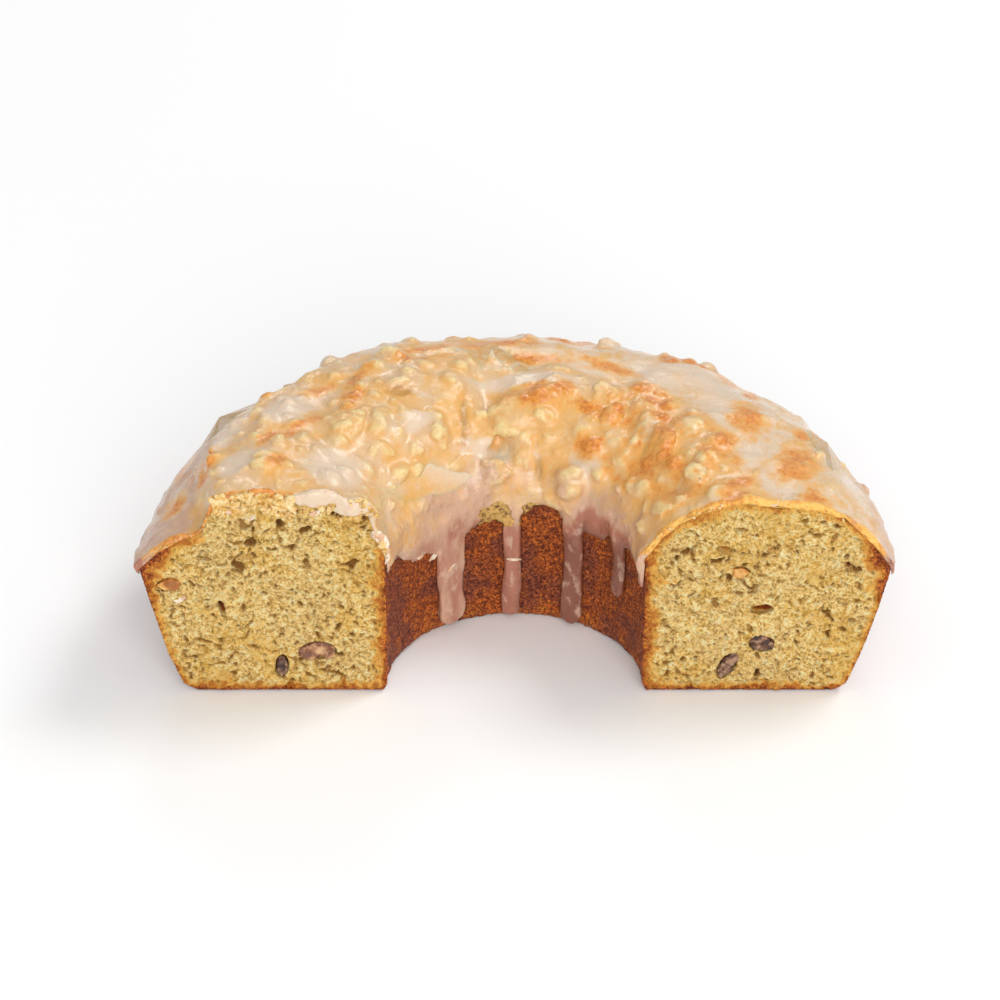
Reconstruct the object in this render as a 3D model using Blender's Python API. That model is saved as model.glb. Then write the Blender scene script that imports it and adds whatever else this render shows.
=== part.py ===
"""Half of a glazed ring cake with a crumble top, cut straight across, resting on its flat base.

The ring's axis stands upright on the cut plane. Angles run round it in degrees, from the right-hand cut
face (0, towards +X) over the back (90, towards +Y) to the left-hand cut face (180, towards -X).
"Across" runs over the crown, from the rim of the hole (-1) to the outer rim (+1).
A section is the cake's outline at one angle, as (radius, height) points in metres.
"""

import math
import random
from collections import namedtuple

import bmesh
import bpy
from mathutils import Matrix, Vector, noise

# Driving sizes of the ring
OUTER_RADIUS = 0.1065
HOLE_RADIUS = 0.0368
BASE_RADIUS = 0.0945
OUTER_RIM_HEIGHT = 0.0425
HOLE_RIM_HEIGHT = 0.0455
BASE_CHAMFER = 0.0022
WALL_BULGE = 0.0016
WALL_BULGE_LOWNESS = 0.6
CUT_Y = -0.0553  # the cut plane, so that the origin lies below the middle of the whole

# The crown: a loaf-shaped dome, fuller at the back, which ends as a stepped slab at the left-hand cut
DOME_HEIGHT = 0.0205
DOME_SQUARENESS = 2.6
DOME_SHOULDER = 0.9
BACK_HEIGHT = 0.0008
BACK_REACH = 0.0028
BACK_SQUARENESS = 0.3
BACK_QUICKNESS = 0.45
SLAB_DOME_HEIGHT = 0.013
SLAB_STEP_HEIGHT = 0.0095
SLAB_EDGE_ACROSS = 0.41
SLAB_EDGE_STRAYS = 0.2
SLAB_STEP_WIDTH = 0.07
SLAB_STARTS = 152.0
SLAB_IS_FULL = 175.0
CRUMBLE_HEIGHT = 0.0020
CRUMBLE_STARTS = 96.0
CRUMBLE_IS_FULL = 111.0
SWELL = 0.0016
SWELL_LENGTH = 0.021
CRAG = 0.00045
CRAG_LENGTH = 0.006

# The icing over it
GAP = 0.0003
ICING_THICKNESS = 0.0013
ICING_POOLING = 0.0009
POOLING_LENGTH = 0.0095
OUTER_HEM_HEIGHT = 0.0388
HEM_WANDER = 0.0026
HEM_WANDER_ANGLE = 7.0
HEM_TUCK = 0.0008
HOLE_HEM_HEIGHTS = (  # (angle, height) where the icing ends on the wall of the hole
    (0, 0.034),
    (12, 0.034),
    (34, 0.037),
    (50, 0.033),
    (63, 0.034),
    (76, 0.0400),
    (88, 0.035),
    (101, 0.0325),
    (118, 0.028),
    (130, 0.026),
    (145, 0.028),
    (160, 0.036),
    (180, 0.040),
)

# How finely the sections are drawn
STATIONS = 41
CROWN_POINTS = 16
WALL_POINTS = 5
HOLE_FLAP_POINTS = 4
OUTER_FLAP_POINTS = 3

# Crumble lumps under the icing
LUMP_COUNT = 106
LUMP_LARGEST = 0.0056
LUMP_SMALLEST = 0.0025
LUMP_SPACING = 0.74
LUMP_FLATNESS = 0.74
LUMP_DEPTH = 0.34
LUMP_ROUGHNESS = 0.4
FINE_LUMP = 0.0036
LUMP_SEED = 11
MOST_DRAWS = 9000

Crease = namedtuple("Crease", "angle across half_angle half_across depth")
CREASES = (
    Crease(angle=97, across=-0.66, half_angle=4.4, half_across=0.36, depth=0.0068),
    Crease(angle=4, across=0.04, half_angle=14, half_across=0.12, depth=0.0020),
    Crease(angle=139, across=0.05, half_angle=3.0, half_across=0.28, depth=0.0026),
)

Lump = namedtuple("Lump", "angle across radius")
LARGE_LUMPS = (
    Lump(99.5, -0.93, 0.0046),
    Lump(119, -0.73, 0.0044),
    Lump(63.5, -0.95, 0.0052),
    Lump(72.5, 0.56, 0.0040),
    Lump(88.5, 0.58, 0.0030),
    Lump(17, 0.90, 0.0030),
    Lump(42, -0.42, 0.0042),
    Lump(38, -0.27, 0.0036),
    Lump(25, -0.46, 0.0036),
    Lump(22, -0.86, 0.0036),
    Lump(153, 0.47, 0.0038),
    Lump(143, 0.50, 0.0036),
    Lump(133, 0.47, 0.0034),
    Lump(150, -0.40, 0.0048),
    Lump(137, -0.50, 0.0048),
)

Drip = namedtuple("Drip", "angle width top bottom thickness outside")
DRIPS = (
    Drip(angle=90.5, width=0.0060, top=0.043, bottom=0.0012, thickness=0.0015, outside=False),
    Drip(angle=62, width=0.0072, top=0.043, bottom=0.0020, thickness=0.0013, outside=False),
    Drip(angle=123, width=0.0105, top=0.040, bottom=0.0025, thickness=0.0012, outside=False),
    Drip(angle=33, width=0.0060, top=0.043, bottom=0.0200, thickness=0.0013, outside=False),
    Drip(angle=18, width=0.0070, top=0.046, bottom=0.0170, thickness=0.0014, outside=True),
    Drip(angle=47, width=0.0060, top=0.046, bottom=0.0250, thickness=0.0014, outside=True),
    Drip(angle=79, width=0.0072, top=0.046, bottom=0.0100, thickness=0.0014, outside=True),
    Drip(angle=104, width=0.0060, top=0.046, bottom=0.0230, thickness=0.0014, outside=True),
    Drip(angle=131, width=0.0068, top=0.046, bottom=0.0150, thickness=0.0014, outside=True),
    Drip(angle=161, width=0.0062, top=0.046, bottom=0.0260, thickness=0.0014, outside=True),
)

# Pieces of walnut and holes in the crumb, on the cut faces: side -1 is the left face, +1 the right one
Spot = namedtuple("Spot", "side radius height width tall deep tilt")
NUTS = (
    Spot(side=-1, radius=0.0570, height=0.0138, width=0.0112, tall=0.0060, deep=0.0080, tilt=-4),
    Spot(side=-1, radius=0.0672, height=0.0085, width=0.0036, tall=0.0082, deep=0.0050, tilt=6),
    Spot(side=-1, radius=0.0985, height=0.0372, width=0.0066, tall=0.0040, deep=0.0050, tilt=-12),
    Spot(side=1, radius=0.0708, height=0.0165, width=0.0074, tall=0.0052, deep=0.0070, tilt=8),
    Spot(side=1, radius=0.0612, height=0.0085, width=0.0046, tall=0.0096, deep=0.0060, tilt=24),
    Spot(side=1, radius=0.0642, height=0.0415, width=0.0044, tall=0.0034, deep=0.0040, tilt=0),
)
HOLES = (
    Spot(side=-1, radius=0.0880, height=0.0462, width=0.0058, tall=0.0026, deep=0.0050, tilt=14),
    Spot(side=-1, radius=0.0590, height=0.0436, width=0.0034, tall=0.0022, deep=0.0040, tilt=0),
    Spot(side=-1, radius=0.0838, height=0.0290, width=0.0018, tall=0.0070, deep=0.0050, tilt=-12),
    Spot(side=-1, radius=0.0755, height=0.0470, width=0.0050, tall=0.0034, deep=0.0026, tilt=0),
    Spot(side=1, radius=0.0592, height=0.0490, width=0.0062, tall=0.0034, deep=0.0050, tilt=14),
    Spot(side=1, radius=0.0705, height=0.0285, width=0.0066, tall=0.0034, deep=0.0060, tilt=-4),
    Spot(side=1, radius=0.0635, height=0.0560, width=0.0056, tall=0.0022, deep=0.0036, tilt=6),
    Spot(side=1, radius=0.0718, height=0.0492, width=0.0044, tall=0.0040, deep=0.0024, tilt=0),
    Spot(side=1, radius=0.0900, height=0.0535, width=0.0018, tall=0.0050, deep=0.0036, tilt=24),
    Spot(side=1, radius=0.0944, height=0.0436, width=0.0024, tall=0.0042, deep=0.0036, tilt=-16),
)
NUT_ROUGHNESS = 0.16
NUT_LUMPINESS = 0.9
HOLE_RAGGEDNESS = 0.28

# Colours, as linear RGB
SPONGE_COLOUR = (0.60, 0.36, 0.12)
ICING_COLOUR = (0.84, 0.62, 0.38)
NUT_COLOUR = (0.20, 0.09, 0.045)


def smooth_step(value):
    """0 below 0 and 1 above 1, with a smooth rise between them."""
    value = min(max(value, 0.0), 1.0)
    return value * value * (3 - 2 * value)


def in_table(table, angle):
    """The value at an angle, read smoothly from a table of (angle, value) pairs."""
    for (angle_a, value_a), (angle_b, value_b) in zip(table, table[1:]):
        if angle <= angle_b:
            return value_a + (value_b - value_a) * smooth_step((angle - angle_a) / (angle_b - angle_a))
    return table[-1][1]


def point_at(angle, radius, height):
    """The place in space of a point of the section at an angle."""
    turn = math.radians(angle)
    return Vector((radius * math.cos(turn), CUT_Y + radius * math.sin(turn), height))


def backness(angle):
    """How near an angle is to the back: 0 at the cut faces, 1 behind."""
    return max(math.sin(math.radians(angle)), 0) ** BACK_QUICKNESS


def slab_share(angle):
    """How far the crown has become the slab: 1 at the left-hand cut face, 0 from the back to the right."""
    return smooth_step((angle - SLAB_STARTS) / (SLAB_IS_FULL - SLAB_STARTS))


def slab_edge(angle):
    """Where the thick crumble ends, across."""
    return SLAB_EDGE_ACROSS + SLAB_EDGE_STRAYS * (1 - slab_share(angle)) + 0.05 * math.sin(angle / 8)


def crease_depth(angle, across):
    """How deep the creases of the baked crown are at a place."""
    return sum(
        crease.depth
        * math.exp(-(((angle - crease.angle) / crease.half_angle) ** 2))
        * math.exp(-(((across - crease.across) / crease.half_across) ** 2))
        for crease in CREASES
    )


def outer_radius(angle):
    """The radius of the outer rim."""
    return OUTER_RADIUS + BACK_REACH * backness(angle)


def crown_point(angle, across):
    """(radius, height) of the sponge's crown at a place on it."""
    reach = outer_radius(angle)
    radius = (reach + HOLE_RADIUS) / 2 + across * (reach - HOLE_RADIUS) / 2
    rim = (OUTER_RIM_HEIGHT + HOLE_RIM_HEIGHT) / 2 + across * (OUTER_RIM_HEIGHT - HOLE_RIM_HEIGHT) / 2
    squareness = DOME_SQUARENESS + BACK_SQUARENESS * backness(angle)
    dome = max(1 - abs(across) ** squareness, 0) ** DOME_SHOULDER
    plain_height = DOME_HEIGHT + BACK_HEIGHT * backness(angle)
    crumble = CRUMBLE_HEIGHT * smooth_step((angle - CRUMBLE_STARTS) / (CRUMBLE_IS_FULL - CRUMBLE_STARTS))
    share = slab_share(angle)
    inside_edge = smooth_step((slab_edge(angle) - across) / SLAB_STEP_WIDTH + 0.5)
    step = inside_edge * smooth_step((across + 1) / SLAB_STEP_WIDTH)
    rise = dome * (plain_height + share * (SLAB_DOME_HEIGHT - plain_height))
    rise += step * (crumble + share * (SLAB_STEP_HEIGHT - crumble))
    swell = SWELL * noise.noise(point_at(angle, radius, 0.0) / SWELL_LENGTH)
    inland = smooth_step((1 - abs(across)) / 0.2)
    return radius, rim + rise + inland * (swell - crease_depth(angle, across))


def wall_radius(angle, height, outside):
    """The radius of the outer wall, or of the hole's wall, at a height."""
    if not outside:
        return HOLE_RADIUS
    share = min(max(height / OUTER_RIM_HEIGHT, 0), 1)
    bulge = WALL_BULGE * math.sin(math.pi * share**WALL_BULGE_LOWNESS)
    return BASE_RADIUS + share * (outer_radius(angle) - BASE_RADIUS) + bulge


def spaced(start, end, count):
    """Evenly spaced values, both ends included."""
    return [start + (end - start) * i / (count - 1) for i in range(count)]


def crown_section(angle):
    """The crown's points at an angle, from the outer rim to the hole's rim."""
    return [crown_point(angle, across) for across in spaced(1, -1, CROWN_POINTS)]


def craggy(angle, section):
    """The section with its walls roughened, as a baked crust is."""
    roughened = []
    for radius, height in section:
        at = point_at(angle, radius, height)
        above_base = smooth_step((height - BASE_CHAMFER) / BASE_CHAMFER)
        roughened.append((radius + CRAG * above_base * noise.noise(at / CRAG_LENGTH), height))
    return roughened


def sponge_section(angle):
    """The sponge's closed outline at an angle: along the base, up the outer wall, over and down the hole."""
    base = [(HOLE_RADIUS + BASE_CHAMFER / 2, 0.0), (BASE_RADIUS - BASE_CHAMFER, 0.0)]
    outer = [(wall_radius(angle, z, True), z) for z in spaced(BASE_CHAMFER, OUTER_RIM_HEIGHT, WALL_POINTS)]
    hole = [(HOLE_RADIUS, z) for z in spaced(HOLE_RIM_HEIGHT, BASE_CHAMFER, WALL_POINTS + 1)]
    return base + craggy(angle, outer + crown_section(angle)[1:-1] + hole)


def pushed_out(section, distances):
    """The points of a closed outline moved outwards, each by its own distance."""
    moved = []
    for i, (radius, height) in enumerate(section):
        before, after = section[i - 1], section[(i + 1) % len(section)]
        along = Vector((after[0] - before[0], after[1] - before[1])).normalized()
        moved.append((radius + along.y * distances[i], height - along.x * distances[i]))
    return moved


def sponge_clearance(angle):
    """The sponge's outline with the gap that the icing keeps to it."""
    section = sponge_section(angle)
    return pushed_out(section, [GAP] * len(section))


def icing_section(angle):
    """The outer face of the icing, from hem to hem, closed by a line through the sponge."""
    wander = HEM_WANDER * noise.noise(Vector((angle / HEM_WANDER_ANGLE, 0, 5)))
    outer_hem = OUTER_HEM_HEIGHT + wander
    hole_hem = in_table(HOLE_HEM_HEIGHTS, angle) - wander
    outer = [(wall_radius(angle, z, True), z) for z in spaced(outer_hem, OUTER_RIM_HEIGHT, OUTER_FLAP_POINTS)]
    hole = [(HOLE_RADIUS, z) for z in spaced(HOLE_RIM_HEIGHT, hole_hem, HOLE_FLAP_POINTS + 1)]
    section = outer + crown_section(angle)[1:-1] + hole
    distances = []
    for radius, height in section:
        pooling = noise.noise(point_at(angle, radius, height) / POOLING_LENGTH)
        distances.append(GAP + ICING_THICKNESS + ICING_POOLING * pooling)
    distances[0] = distances[-1] = -HEM_TUCK
    distances[1] = distances[-2] = GAP + ICING_THICKNESS * 0.6
    return pushed_out(section, distances)


def new_object(name, mesh_source):
    """A new object that holds a bmesh, which is freed."""
    bmesh.ops.recalc_face_normals(mesh_source, faces=mesh_source.faces)
    mesh = bpy.data.meshes.new(name)
    mesh_source.to_mesh(mesh)
    mesh_source.free()
    body = bpy.data.objects.new(name, mesh)
    bpy.context.scene.collection.objects.link(body)
    return body


def ring_body(name, section_at):
    """A closed body through the sections at every station of the half ring."""
    work = bmesh.new()
    loops = []
    for angle in spaced(0, 180, STATIONS):
        loops.append([work.verts.new(point_at(angle, radius, height)) for radius, height in section_at(angle)])
    for one, other in zip(loops, loops[1:]):
        for i in range(len(one)):
            j = (i + 1) % len(one)
            work.faces.new((one[i], one[j], other[j]))
            work.faces.new((one[i], other[j], other[i]))
    work.faces.new(loops[0])
    work.faces.new(loops[-1])
    return new_object(name, work)


def combine(target, tools, operation, solver="EXACT"):
    """Applies a Boolean of the target with all the tools at once, then removes the tools."""
    tool_collection = bpy.data.collections.new("tools")
    bpy.context.scene.collection.children.link(tool_collection)
    for tool in tools:
        bpy.context.scene.collection.objects.unlink(tool)
        tool_collection.objects.link(tool)
    boolean = target.modifiers.new("combine", "BOOLEAN")
    boolean.operation = operation
    boolean.operand_type = "COLLECTION"
    boolean.collection = tool_collection
    boolean.solver = solver
    bpy.context.view_layer.objects.active = target
    bpy.ops.object.modifier_apply(modifier=boolean.name)
    for tool in tools:
        bpy.data.objects.remove(tool)
    bpy.data.collections.remove(tool_collection)


def drop_splinters(body):
    """Removes the loose slivers that a Boolean of nearly parallel faces leaves beside the body."""
    work = bmesh.new()
    work.from_mesh(body.data)
    unseen = set(work.verts)
    largest = set()
    while unseen:
        found = {unseen.pop()}
        front = list(found)
        while front:
            vert = front.pop()
            beside = {edge.other_vert(vert) for edge in vert.link_edges} & unseen
            unseen -= beside
            found |= beside
            front += beside
        largest = max(largest, found, key=len)
    bmesh.ops.delete(work, geom=[vert for vert in work.verts if vert not in largest], context="VERTS")
    work.to_mesh(body.data)
    work.free()


def rounded_lump(name, place, half_sizes, turn, roughness, detail=2):
    """A closed, slightly irregular ball at a place, with its own three half sizes and turn."""
    work = bmesh.new()
    bmesh.ops.create_icosphere(work, subdivisions=detail, radius=1.0)
    for vert in work.verts:
        vert.co *= 1 + roughness * noise.noise(vert.co * NUT_LUMPINESS + place / LUMP_SMALLEST)
    bmesh.ops.transform(
        work,
        matrix=Matrix.Translation(place) @ turn.to_4x4() @ Matrix.Diagonal(half_sizes).to_4x4(),
        verts=work.verts,
    )
    return new_object(name, work)


def in_front_of_cut(reach=0.02, width=0.3):
    """A block that holds everything in front of the cut plane."""
    work = bmesh.new()
    bmesh.ops.create_cube(
        work,
        size=1.0,
        matrix=Matrix.Translation((0, CUT_Y - reach / 2, 0)) @ Matrix.Diagonal((width, reach, width, 1)),
    )
    return new_object("in_front_of_cut", work)


def icing_place(angle, across, above):
    """A place above the sponge's crown."""
    radius, height = crown_point(angle, across)
    return point_at(angle, radius, height + GAP + ICING_THICKNESS + above)


def crumble_share(angle, across):
    """How much crumble lies here: all over the left, along the hole, and thinly along the outer crest."""
    if angle > CRUMBLE_STARTS and -0.92 < across < slab_edge(angle):
        return 1.0
    if -0.94 < across < -0.15:
        return 0.9
    return 0.22 if 0.45 < across < 0.86 else 0.0


def scattered_lumps():
    """The named large lumps, then smaller ones spread evenly where crumble lies, the largest first."""
    draw = random.Random(LUMP_SEED)
    lumps = list(LARGE_LUMPS)
    places = [icing_place(lump.angle, lump.across, 0.0) for lump in lumps]
    for _ in range(MOST_DRAWS):
        if len(lumps) == LUMP_COUNT:
            break
        share = (len(lumps) / LUMP_COUNT) ** 0.5
        radius = LUMP_LARGEST + (LUMP_SMALLEST - LUMP_LARGEST) * share
        angle, across = draw.uniform(3, 177), draw.uniform(-1, 1)
        place = icing_place(angle, across, 0.0)
        apart = all(
            (place - other).length > LUMP_SPACING * (radius + lump.radius)
            for other, lump in zip(places, lumps)
        )
        if apart and draw.random() < crumble_share(angle, across):
            lumps.append(Lump(angle, across, radius))
            places.append(place)
    return lumps


def lump_bodies():
    """One flattened, irregular ball for each lump of crumble, half sunk in the icing."""
    draw = random.Random(LUMP_SEED + 1)
    bodies = []
    for lump in scattered_lumps():
        half_sizes = [lump.radius * draw.uniform(0.85, 1.25) * share for share in (1, 1, LUMP_FLATNESS)]
        turn = Matrix.Rotation(draw.uniform(0, math.tau), 3, "Z")
        turn = Matrix.Rotation(draw.uniform(-0.4, 0.4), 3, "X") @ turn
        place = icing_place(lump.angle, lump.across, -lump.radius * LUMP_DEPTH)
        detail = 2 if lump.radius > FINE_LUMP else 1
        bodies.append(rounded_lump("lump", place, half_sizes, turn, LUMP_ROUGHNESS * detail / 2, detail))
    return bodies


def drip_bodies():
    """A long flat drop for each run of icing down a wall."""
    bodies = []
    for drip in DRIPS:
        middle = (drip.top + drip.bottom) / 2
        top_radius = wall_radius(drip.angle, drip.top, drip.outside)
        low_radius = wall_radius(drip.angle, drip.bottom, drip.outside)
        lean = math.atan2(top_radius - low_radius, drip.top - drip.bottom)
        out = Matrix.Rotation(math.radians(drip.angle), 3, "Z")
        place = point_at(drip.angle, (top_radius + low_radius) / 2, middle)
        half_length = (drip.top - drip.bottom) / 2 / math.cos(lean)
        half_sizes = (drip.thickness, drip.width / 2, half_length)
        turn = out @ Matrix.Rotation(lean, 3, "Y")
        bodies.append(rounded_lump("drip", place, half_sizes, turn, roughness=0.06))
    return bodies


def spot_body(name, spot, grown, roughness):
    """A lumpy body centred on the cut plane, where the spot is, grown all round by a margin."""
    place = Vector((spot.side * spot.radius, CUT_Y, spot.height))
    turn = Matrix.Rotation(math.radians(spot.tilt), 3, "Y")
    half_sizes = (spot.width / 2 + grown, spot.deep + grown, spot.tall / 2 + grown)
    return rounded_lump(name, place, half_sizes, turn, roughness)


def dress(body, colour, roughness, smooth):
    """Gives a node its material and its shading."""
    material = bpy.data.materials.new(body.name)
    material.use_nodes = True
    surface = material.node_tree.nodes["Principled BSDF"]
    surface.inputs["Base Color"].default_value = (*colour, 1)
    surface.inputs["Roughness"].default_value = roughness
    surface.inputs["Metallic"].default_value = 0
    material.diffuse_color = (*colour, 1)
    body.data.materials.clear()
    body.data.materials.append(material)
    if smooth:
        body.data.shade_smooth()
        body.data.set_sharp_from_angle(angle=math.radians(50))


def make_sponge():
    """The baked ring: crust all round, and two cut faces with their torn holes and nut pockets."""
    sponge = ring_body("sponge", sponge_section)
    hollows = [spot_body("hollow", hole, 0.0, HOLE_RAGGEDNESS) for hole in HOLES]
    pockets = [spot_body("pocket", nut, GAP, NUT_ROUGHNESS) for nut in NUTS]
    combine(sponge, hollows + pockets, "DIFFERENCE")
    dress(sponge, SPONGE_COLOUR, roughness=0.9, smooth=True)
    return sponge


def make_icing():
    """The glazed crumble: a skin over the crown, its lumps, and the runs down both walls."""
    icing = ring_body("crumble_icing", icing_section)
    combine(icing, lump_bodies() + drip_bodies(), "UNION", solver="MANIFOLD")
    combine(icing, [ring_body("clearance", sponge_clearance)], "DIFFERENCE", solver="MANIFOLD")
    combine(icing, [in_front_of_cut()], "DIFFERENCE", solver="MANIFOLD")
    drop_splinters(icing)
    dress(icing, ICING_COLOUR, roughness=0.35, smooth=True)
    return icing


def make_nuts():
    """The pieces of walnut, cut off flush with the cut faces."""
    for number, nut in enumerate(NUTS, start=1):
        piece = spot_body(f"walnut_{number}", nut, 0.0, NUT_ROUGHNESS)
        combine(piece, [in_front_of_cut()], "DIFFERENCE")
        dress(piece, NUT_COLOUR, roughness=0.7, smooth=False)


def main():
    """Clears the scene and makes the cake."""
    for leftover in list(bpy.data.objects):
        bpy.data.objects.remove(leftover)
    make_sponge()
    make_icing()
    make_nuts()


if __name__ == "__main__":
    main()
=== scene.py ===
"""Dresses the half ring cake: torn crumb, baked crust, glazed crumble top, walnut pieces and sugar flakes.

Every piece stands in the part's own frame, in metres. The ring's axis is upright on the cut plane. Angles
run round it in degrees, from the right-hand cut face (0) over the back (90) to the left-hand one (180).
"Across" runs over the crown, from the rim of the hole (-1) to the outer rim (+1).
"""

import logging
import math
import random
from dataclasses import dataclass
from enum import Enum
from typing import Callable, Iterable, Sequence

import bmesh
import bpy
import numpy as np
from mathutils import Matrix, Vector, noise
from mathutils.bvhtree import BVHTree


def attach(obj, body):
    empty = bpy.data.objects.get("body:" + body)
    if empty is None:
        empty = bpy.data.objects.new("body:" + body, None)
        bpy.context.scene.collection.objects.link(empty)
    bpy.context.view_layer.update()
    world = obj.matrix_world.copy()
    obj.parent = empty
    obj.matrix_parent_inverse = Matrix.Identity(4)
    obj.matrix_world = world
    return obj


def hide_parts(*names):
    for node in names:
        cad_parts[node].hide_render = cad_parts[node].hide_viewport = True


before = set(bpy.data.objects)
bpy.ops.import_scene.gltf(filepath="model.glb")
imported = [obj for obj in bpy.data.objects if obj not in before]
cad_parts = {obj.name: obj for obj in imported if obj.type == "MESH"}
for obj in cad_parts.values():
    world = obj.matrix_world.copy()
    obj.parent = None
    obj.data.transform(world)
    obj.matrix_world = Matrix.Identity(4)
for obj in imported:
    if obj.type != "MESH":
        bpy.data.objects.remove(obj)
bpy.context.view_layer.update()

log = logging.getLogger("half_ring_cake")

MM = 0.001
CUT_Y = -0.0553
HOLE_RADIUS = 36.8 * MM
OUTER_RADIUS = 108.0 * MM
MIDDLE_RADIUS = (OUTER_RADIUS + HOLE_RADIUS) / 2
HALF_WIDTH = (OUTER_RADIUS - HOLE_RADIUS) / 2
HIGH = 0.2
MERGE_DISTANCE = 1e-6
ROOT = "root"
DOWN = Vector((0, 0, -1))

Colour = tuple[float, float, float]
Piece = bpy.types.Object
Socket = bpy.types.NodeSocket
Material = bpy.types.Material


class Direction(Enum):
    """Which way a layer of relief pushes a surface."""

    NORMAL = "NORMAL"
    BACKWARDS = "Y"


class Pattern(Enum):
    """The kinds of procedural relief that the pieces use."""

    CLOUDS = "CLOUDS"
    CELLS = "VORONOI"


class NutTone(Enum):
    """How a piece of walnut looks, by the colours of its skin, its flesh and its lightest flesh."""

    PALE = (0.17, 0.062, 0.028), (0.42, 0.20, 0.09), (0.62, 0.38, 0.20)
    DARK = (0.045, 0.018, 0.012), (0.13, 0.052, 0.03), (0.42, 0.25, 0.15)
    TOASTED = (0.34, 0.11, 0.018), (0.58, 0.24, 0.045), (0.74, 0.42, 0.13)


@dataclass(frozen=True)
class Spot:
    """A soft-edged patch on the crown.

    Args:
        angle: where it lies round the ring, in degrees.
        across: where it lies across the crown, from -1 to 1.
        length: half its size along the ring, in metres.
        width: half its size across the crown, in metres.
        turn: how far it is turned, in degrees.
    """

    angle: float
    across: float
    length: float
    width: float
    turn: float = 0.0


@dataclass(frozen=True)
class Relief:
    """A layer of procedural relief.

    Args:
        pattern: its kind.
        size: the size of its features, in metres.
        height: how far it pushes the surface in all, in metres.
        middle: the pattern's value that leaves the surface where it is.
        group: the vertex group that it is limited to, or nothing.
        direction: the way it pushes.
        octaves: how much finer detail is laid over it.
    """

    pattern: Pattern
    size: float
    height: float
    middle: float = 0.5
    group: str = ""
    direction: Direction = Direction.NORMAL
    octaves: int = 2


@dataclass(frozen=True)
class Drift:
    """A zone of the crown that is strewn with crumble.

    Args:
        angles: where it starts and ends round the ring, in degrees.
        across: where it starts and ends across the crown.
        count: how many nuggets lie in it.
        sizes: the smallest and the largest nugget, in metres.
    """

    angles: tuple[float, float]
    across: tuple[float, float]
    count: int
    sizes: tuple[float, float]


@dataclass(frozen=True)
class Heap:
    """A run of loose crumble along the top of a cut face.

    Args:
        reach: where it starts and ends from left to right, in metres.
        drop: how far it spills down, in metres.
        count: how many bits it has.
        sizes: the smallest and the largest bit, in metres.
        start: how far below the glaze it starts, in metres.
    """

    reach: tuple[float, float]
    drop: float
    count: int
    sizes: tuple[float, float]
    start: float = 0.3 * MM


@dataclass(frozen=True)
class Run:
    """A run of glaze down a wall.

    Args:
        angle: where it hangs round the ring, in degrees.
        bottom: how high above the base it ends, in metres.
        width: its width, in metres.
        outside: whether it hangs on the outer wall.
    """

    angle: float
    bottom: float
    width: float
    outside: bool = False


@dataclass(frozen=True)
class Lobe:
    """A lip of glaze that hangs over the cut face.

    Args:
        x: its middle from left to right, in metres.
        z: the height of its middle, in metres.
        length: half its length, in metres.
        height: half its height, in metres.
    """

    x: float
    z: float
    length: float
    height: float


@dataclass(frozen=True)
class Shard:
    """A broken flake of set glaze.

    Args:
        place: where it lies, before it is laid on what carries it.
        facing: the way its flat side faces.
        length: its length, in metres.
        width: its width, in metres.
        turn: how far it is turned in its own plane, in degrees.
    """

    place: tuple[float, float, float]
    facing: tuple[float, float, float]
    length: float
    width: float
    turn: float


def spots(*rows: tuple[float, ...]) -> tuple[Spot, ...]:
    """Patches from rows of angle, place across, half length and half width in millimetres, and turn."""
    return tuple(Spot(row[0], row[1], row[2] * MM, row[3] * MM, *row[4:]) for row in rows)


def rise(values: np.ndarray, low: float, high: float) -> np.ndarray:
    """A smooth rise from 0 at low to 1 at high, or a fall where low is above high."""
    share = np.clip((values - low) / (high - low), 0.0, 1.0)
    return share * share * (3.0 - 2.0 * share)


def smooth(value: float, low: float, high: float) -> float:
    """The same smooth rise for one number, which is much faster than an array of one."""
    share = min(max((value - low) / (high - low), 0.0), 1.0)
    return share * share * (3.0 - 2.0 * share)


def select_only(piece: Piece, others: Iterable[Piece] = ()) -> None:
    """Makes a piece the active one, and selects it with some others alone.

    Args:
        piece: the piece.
        others: what is selected with it.
    """
    bpy.ops.object.select_all(action="DESELECT")
    for each in (piece, *others):
        each.select_set(True)
    bpy.context.view_layer.objects.active = piece


def apply_modifier(piece: Piece, kind: str, **settings: object) -> None:
    """Adds a modifier to a piece and applies it.

    Args:
        piece: the piece.
        kind: the modifier's type.
        settings: the modifier's own settings.
    """
    select_only(piece)
    modifier = piece.modifiers.new(kind.lower(), kind)
    for name, value in settings.items():
        setattr(modifier, name, value)
    bpy.ops.object.modifier_apply(modifier=modifier.name)


def edit_all(piece: Piece, operator: Callable[..., set[str]], **settings: object) -> None:
    """Runs an operator on the whole mesh of a piece.

    Args:
        piece: the piece.
        operator: the operator.
        settings: the operator's own settings.
    """
    select_only(piece)
    bpy.ops.object.mode_set(mode="EDIT")
    bpy.ops.mesh.select_all(action="SELECT")
    operator(**settings)
    bpy.ops.object.mode_set(mode="OBJECT")


def copied_node(node: str, name: str) -> Piece:
    """A copy of a CAD node's solid as a new piece, its corners merged into one closed mesh.

    Args:
        node: the CAD node.
        name: the new piece's name.

    Returns:
        The new piece.
    """
    piece = bpy.data.objects.new(name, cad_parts[node].data.copy())
    bpy.context.scene.collection.objects.link(piece)
    piece.data.materials.clear()
    piece.data.name = name
    edit_all(piece, bpy.ops.mesh.remove_doubles, threshold=MERGE_DISTANCE)
    return piece


def node_mesh(node: str) -> bmesh.types.BMesh:
    """The faces of a CAD node's solid, to be worked on and freed.

    Args:
        node: the CAD node.

    Returns:
        The faces.
    """
    source = copied_node(node, "surface_source")
    work = bmesh.new()
    work.from_mesh(source.data)
    bpy.data.objects.remove(source)
    return work


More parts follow.
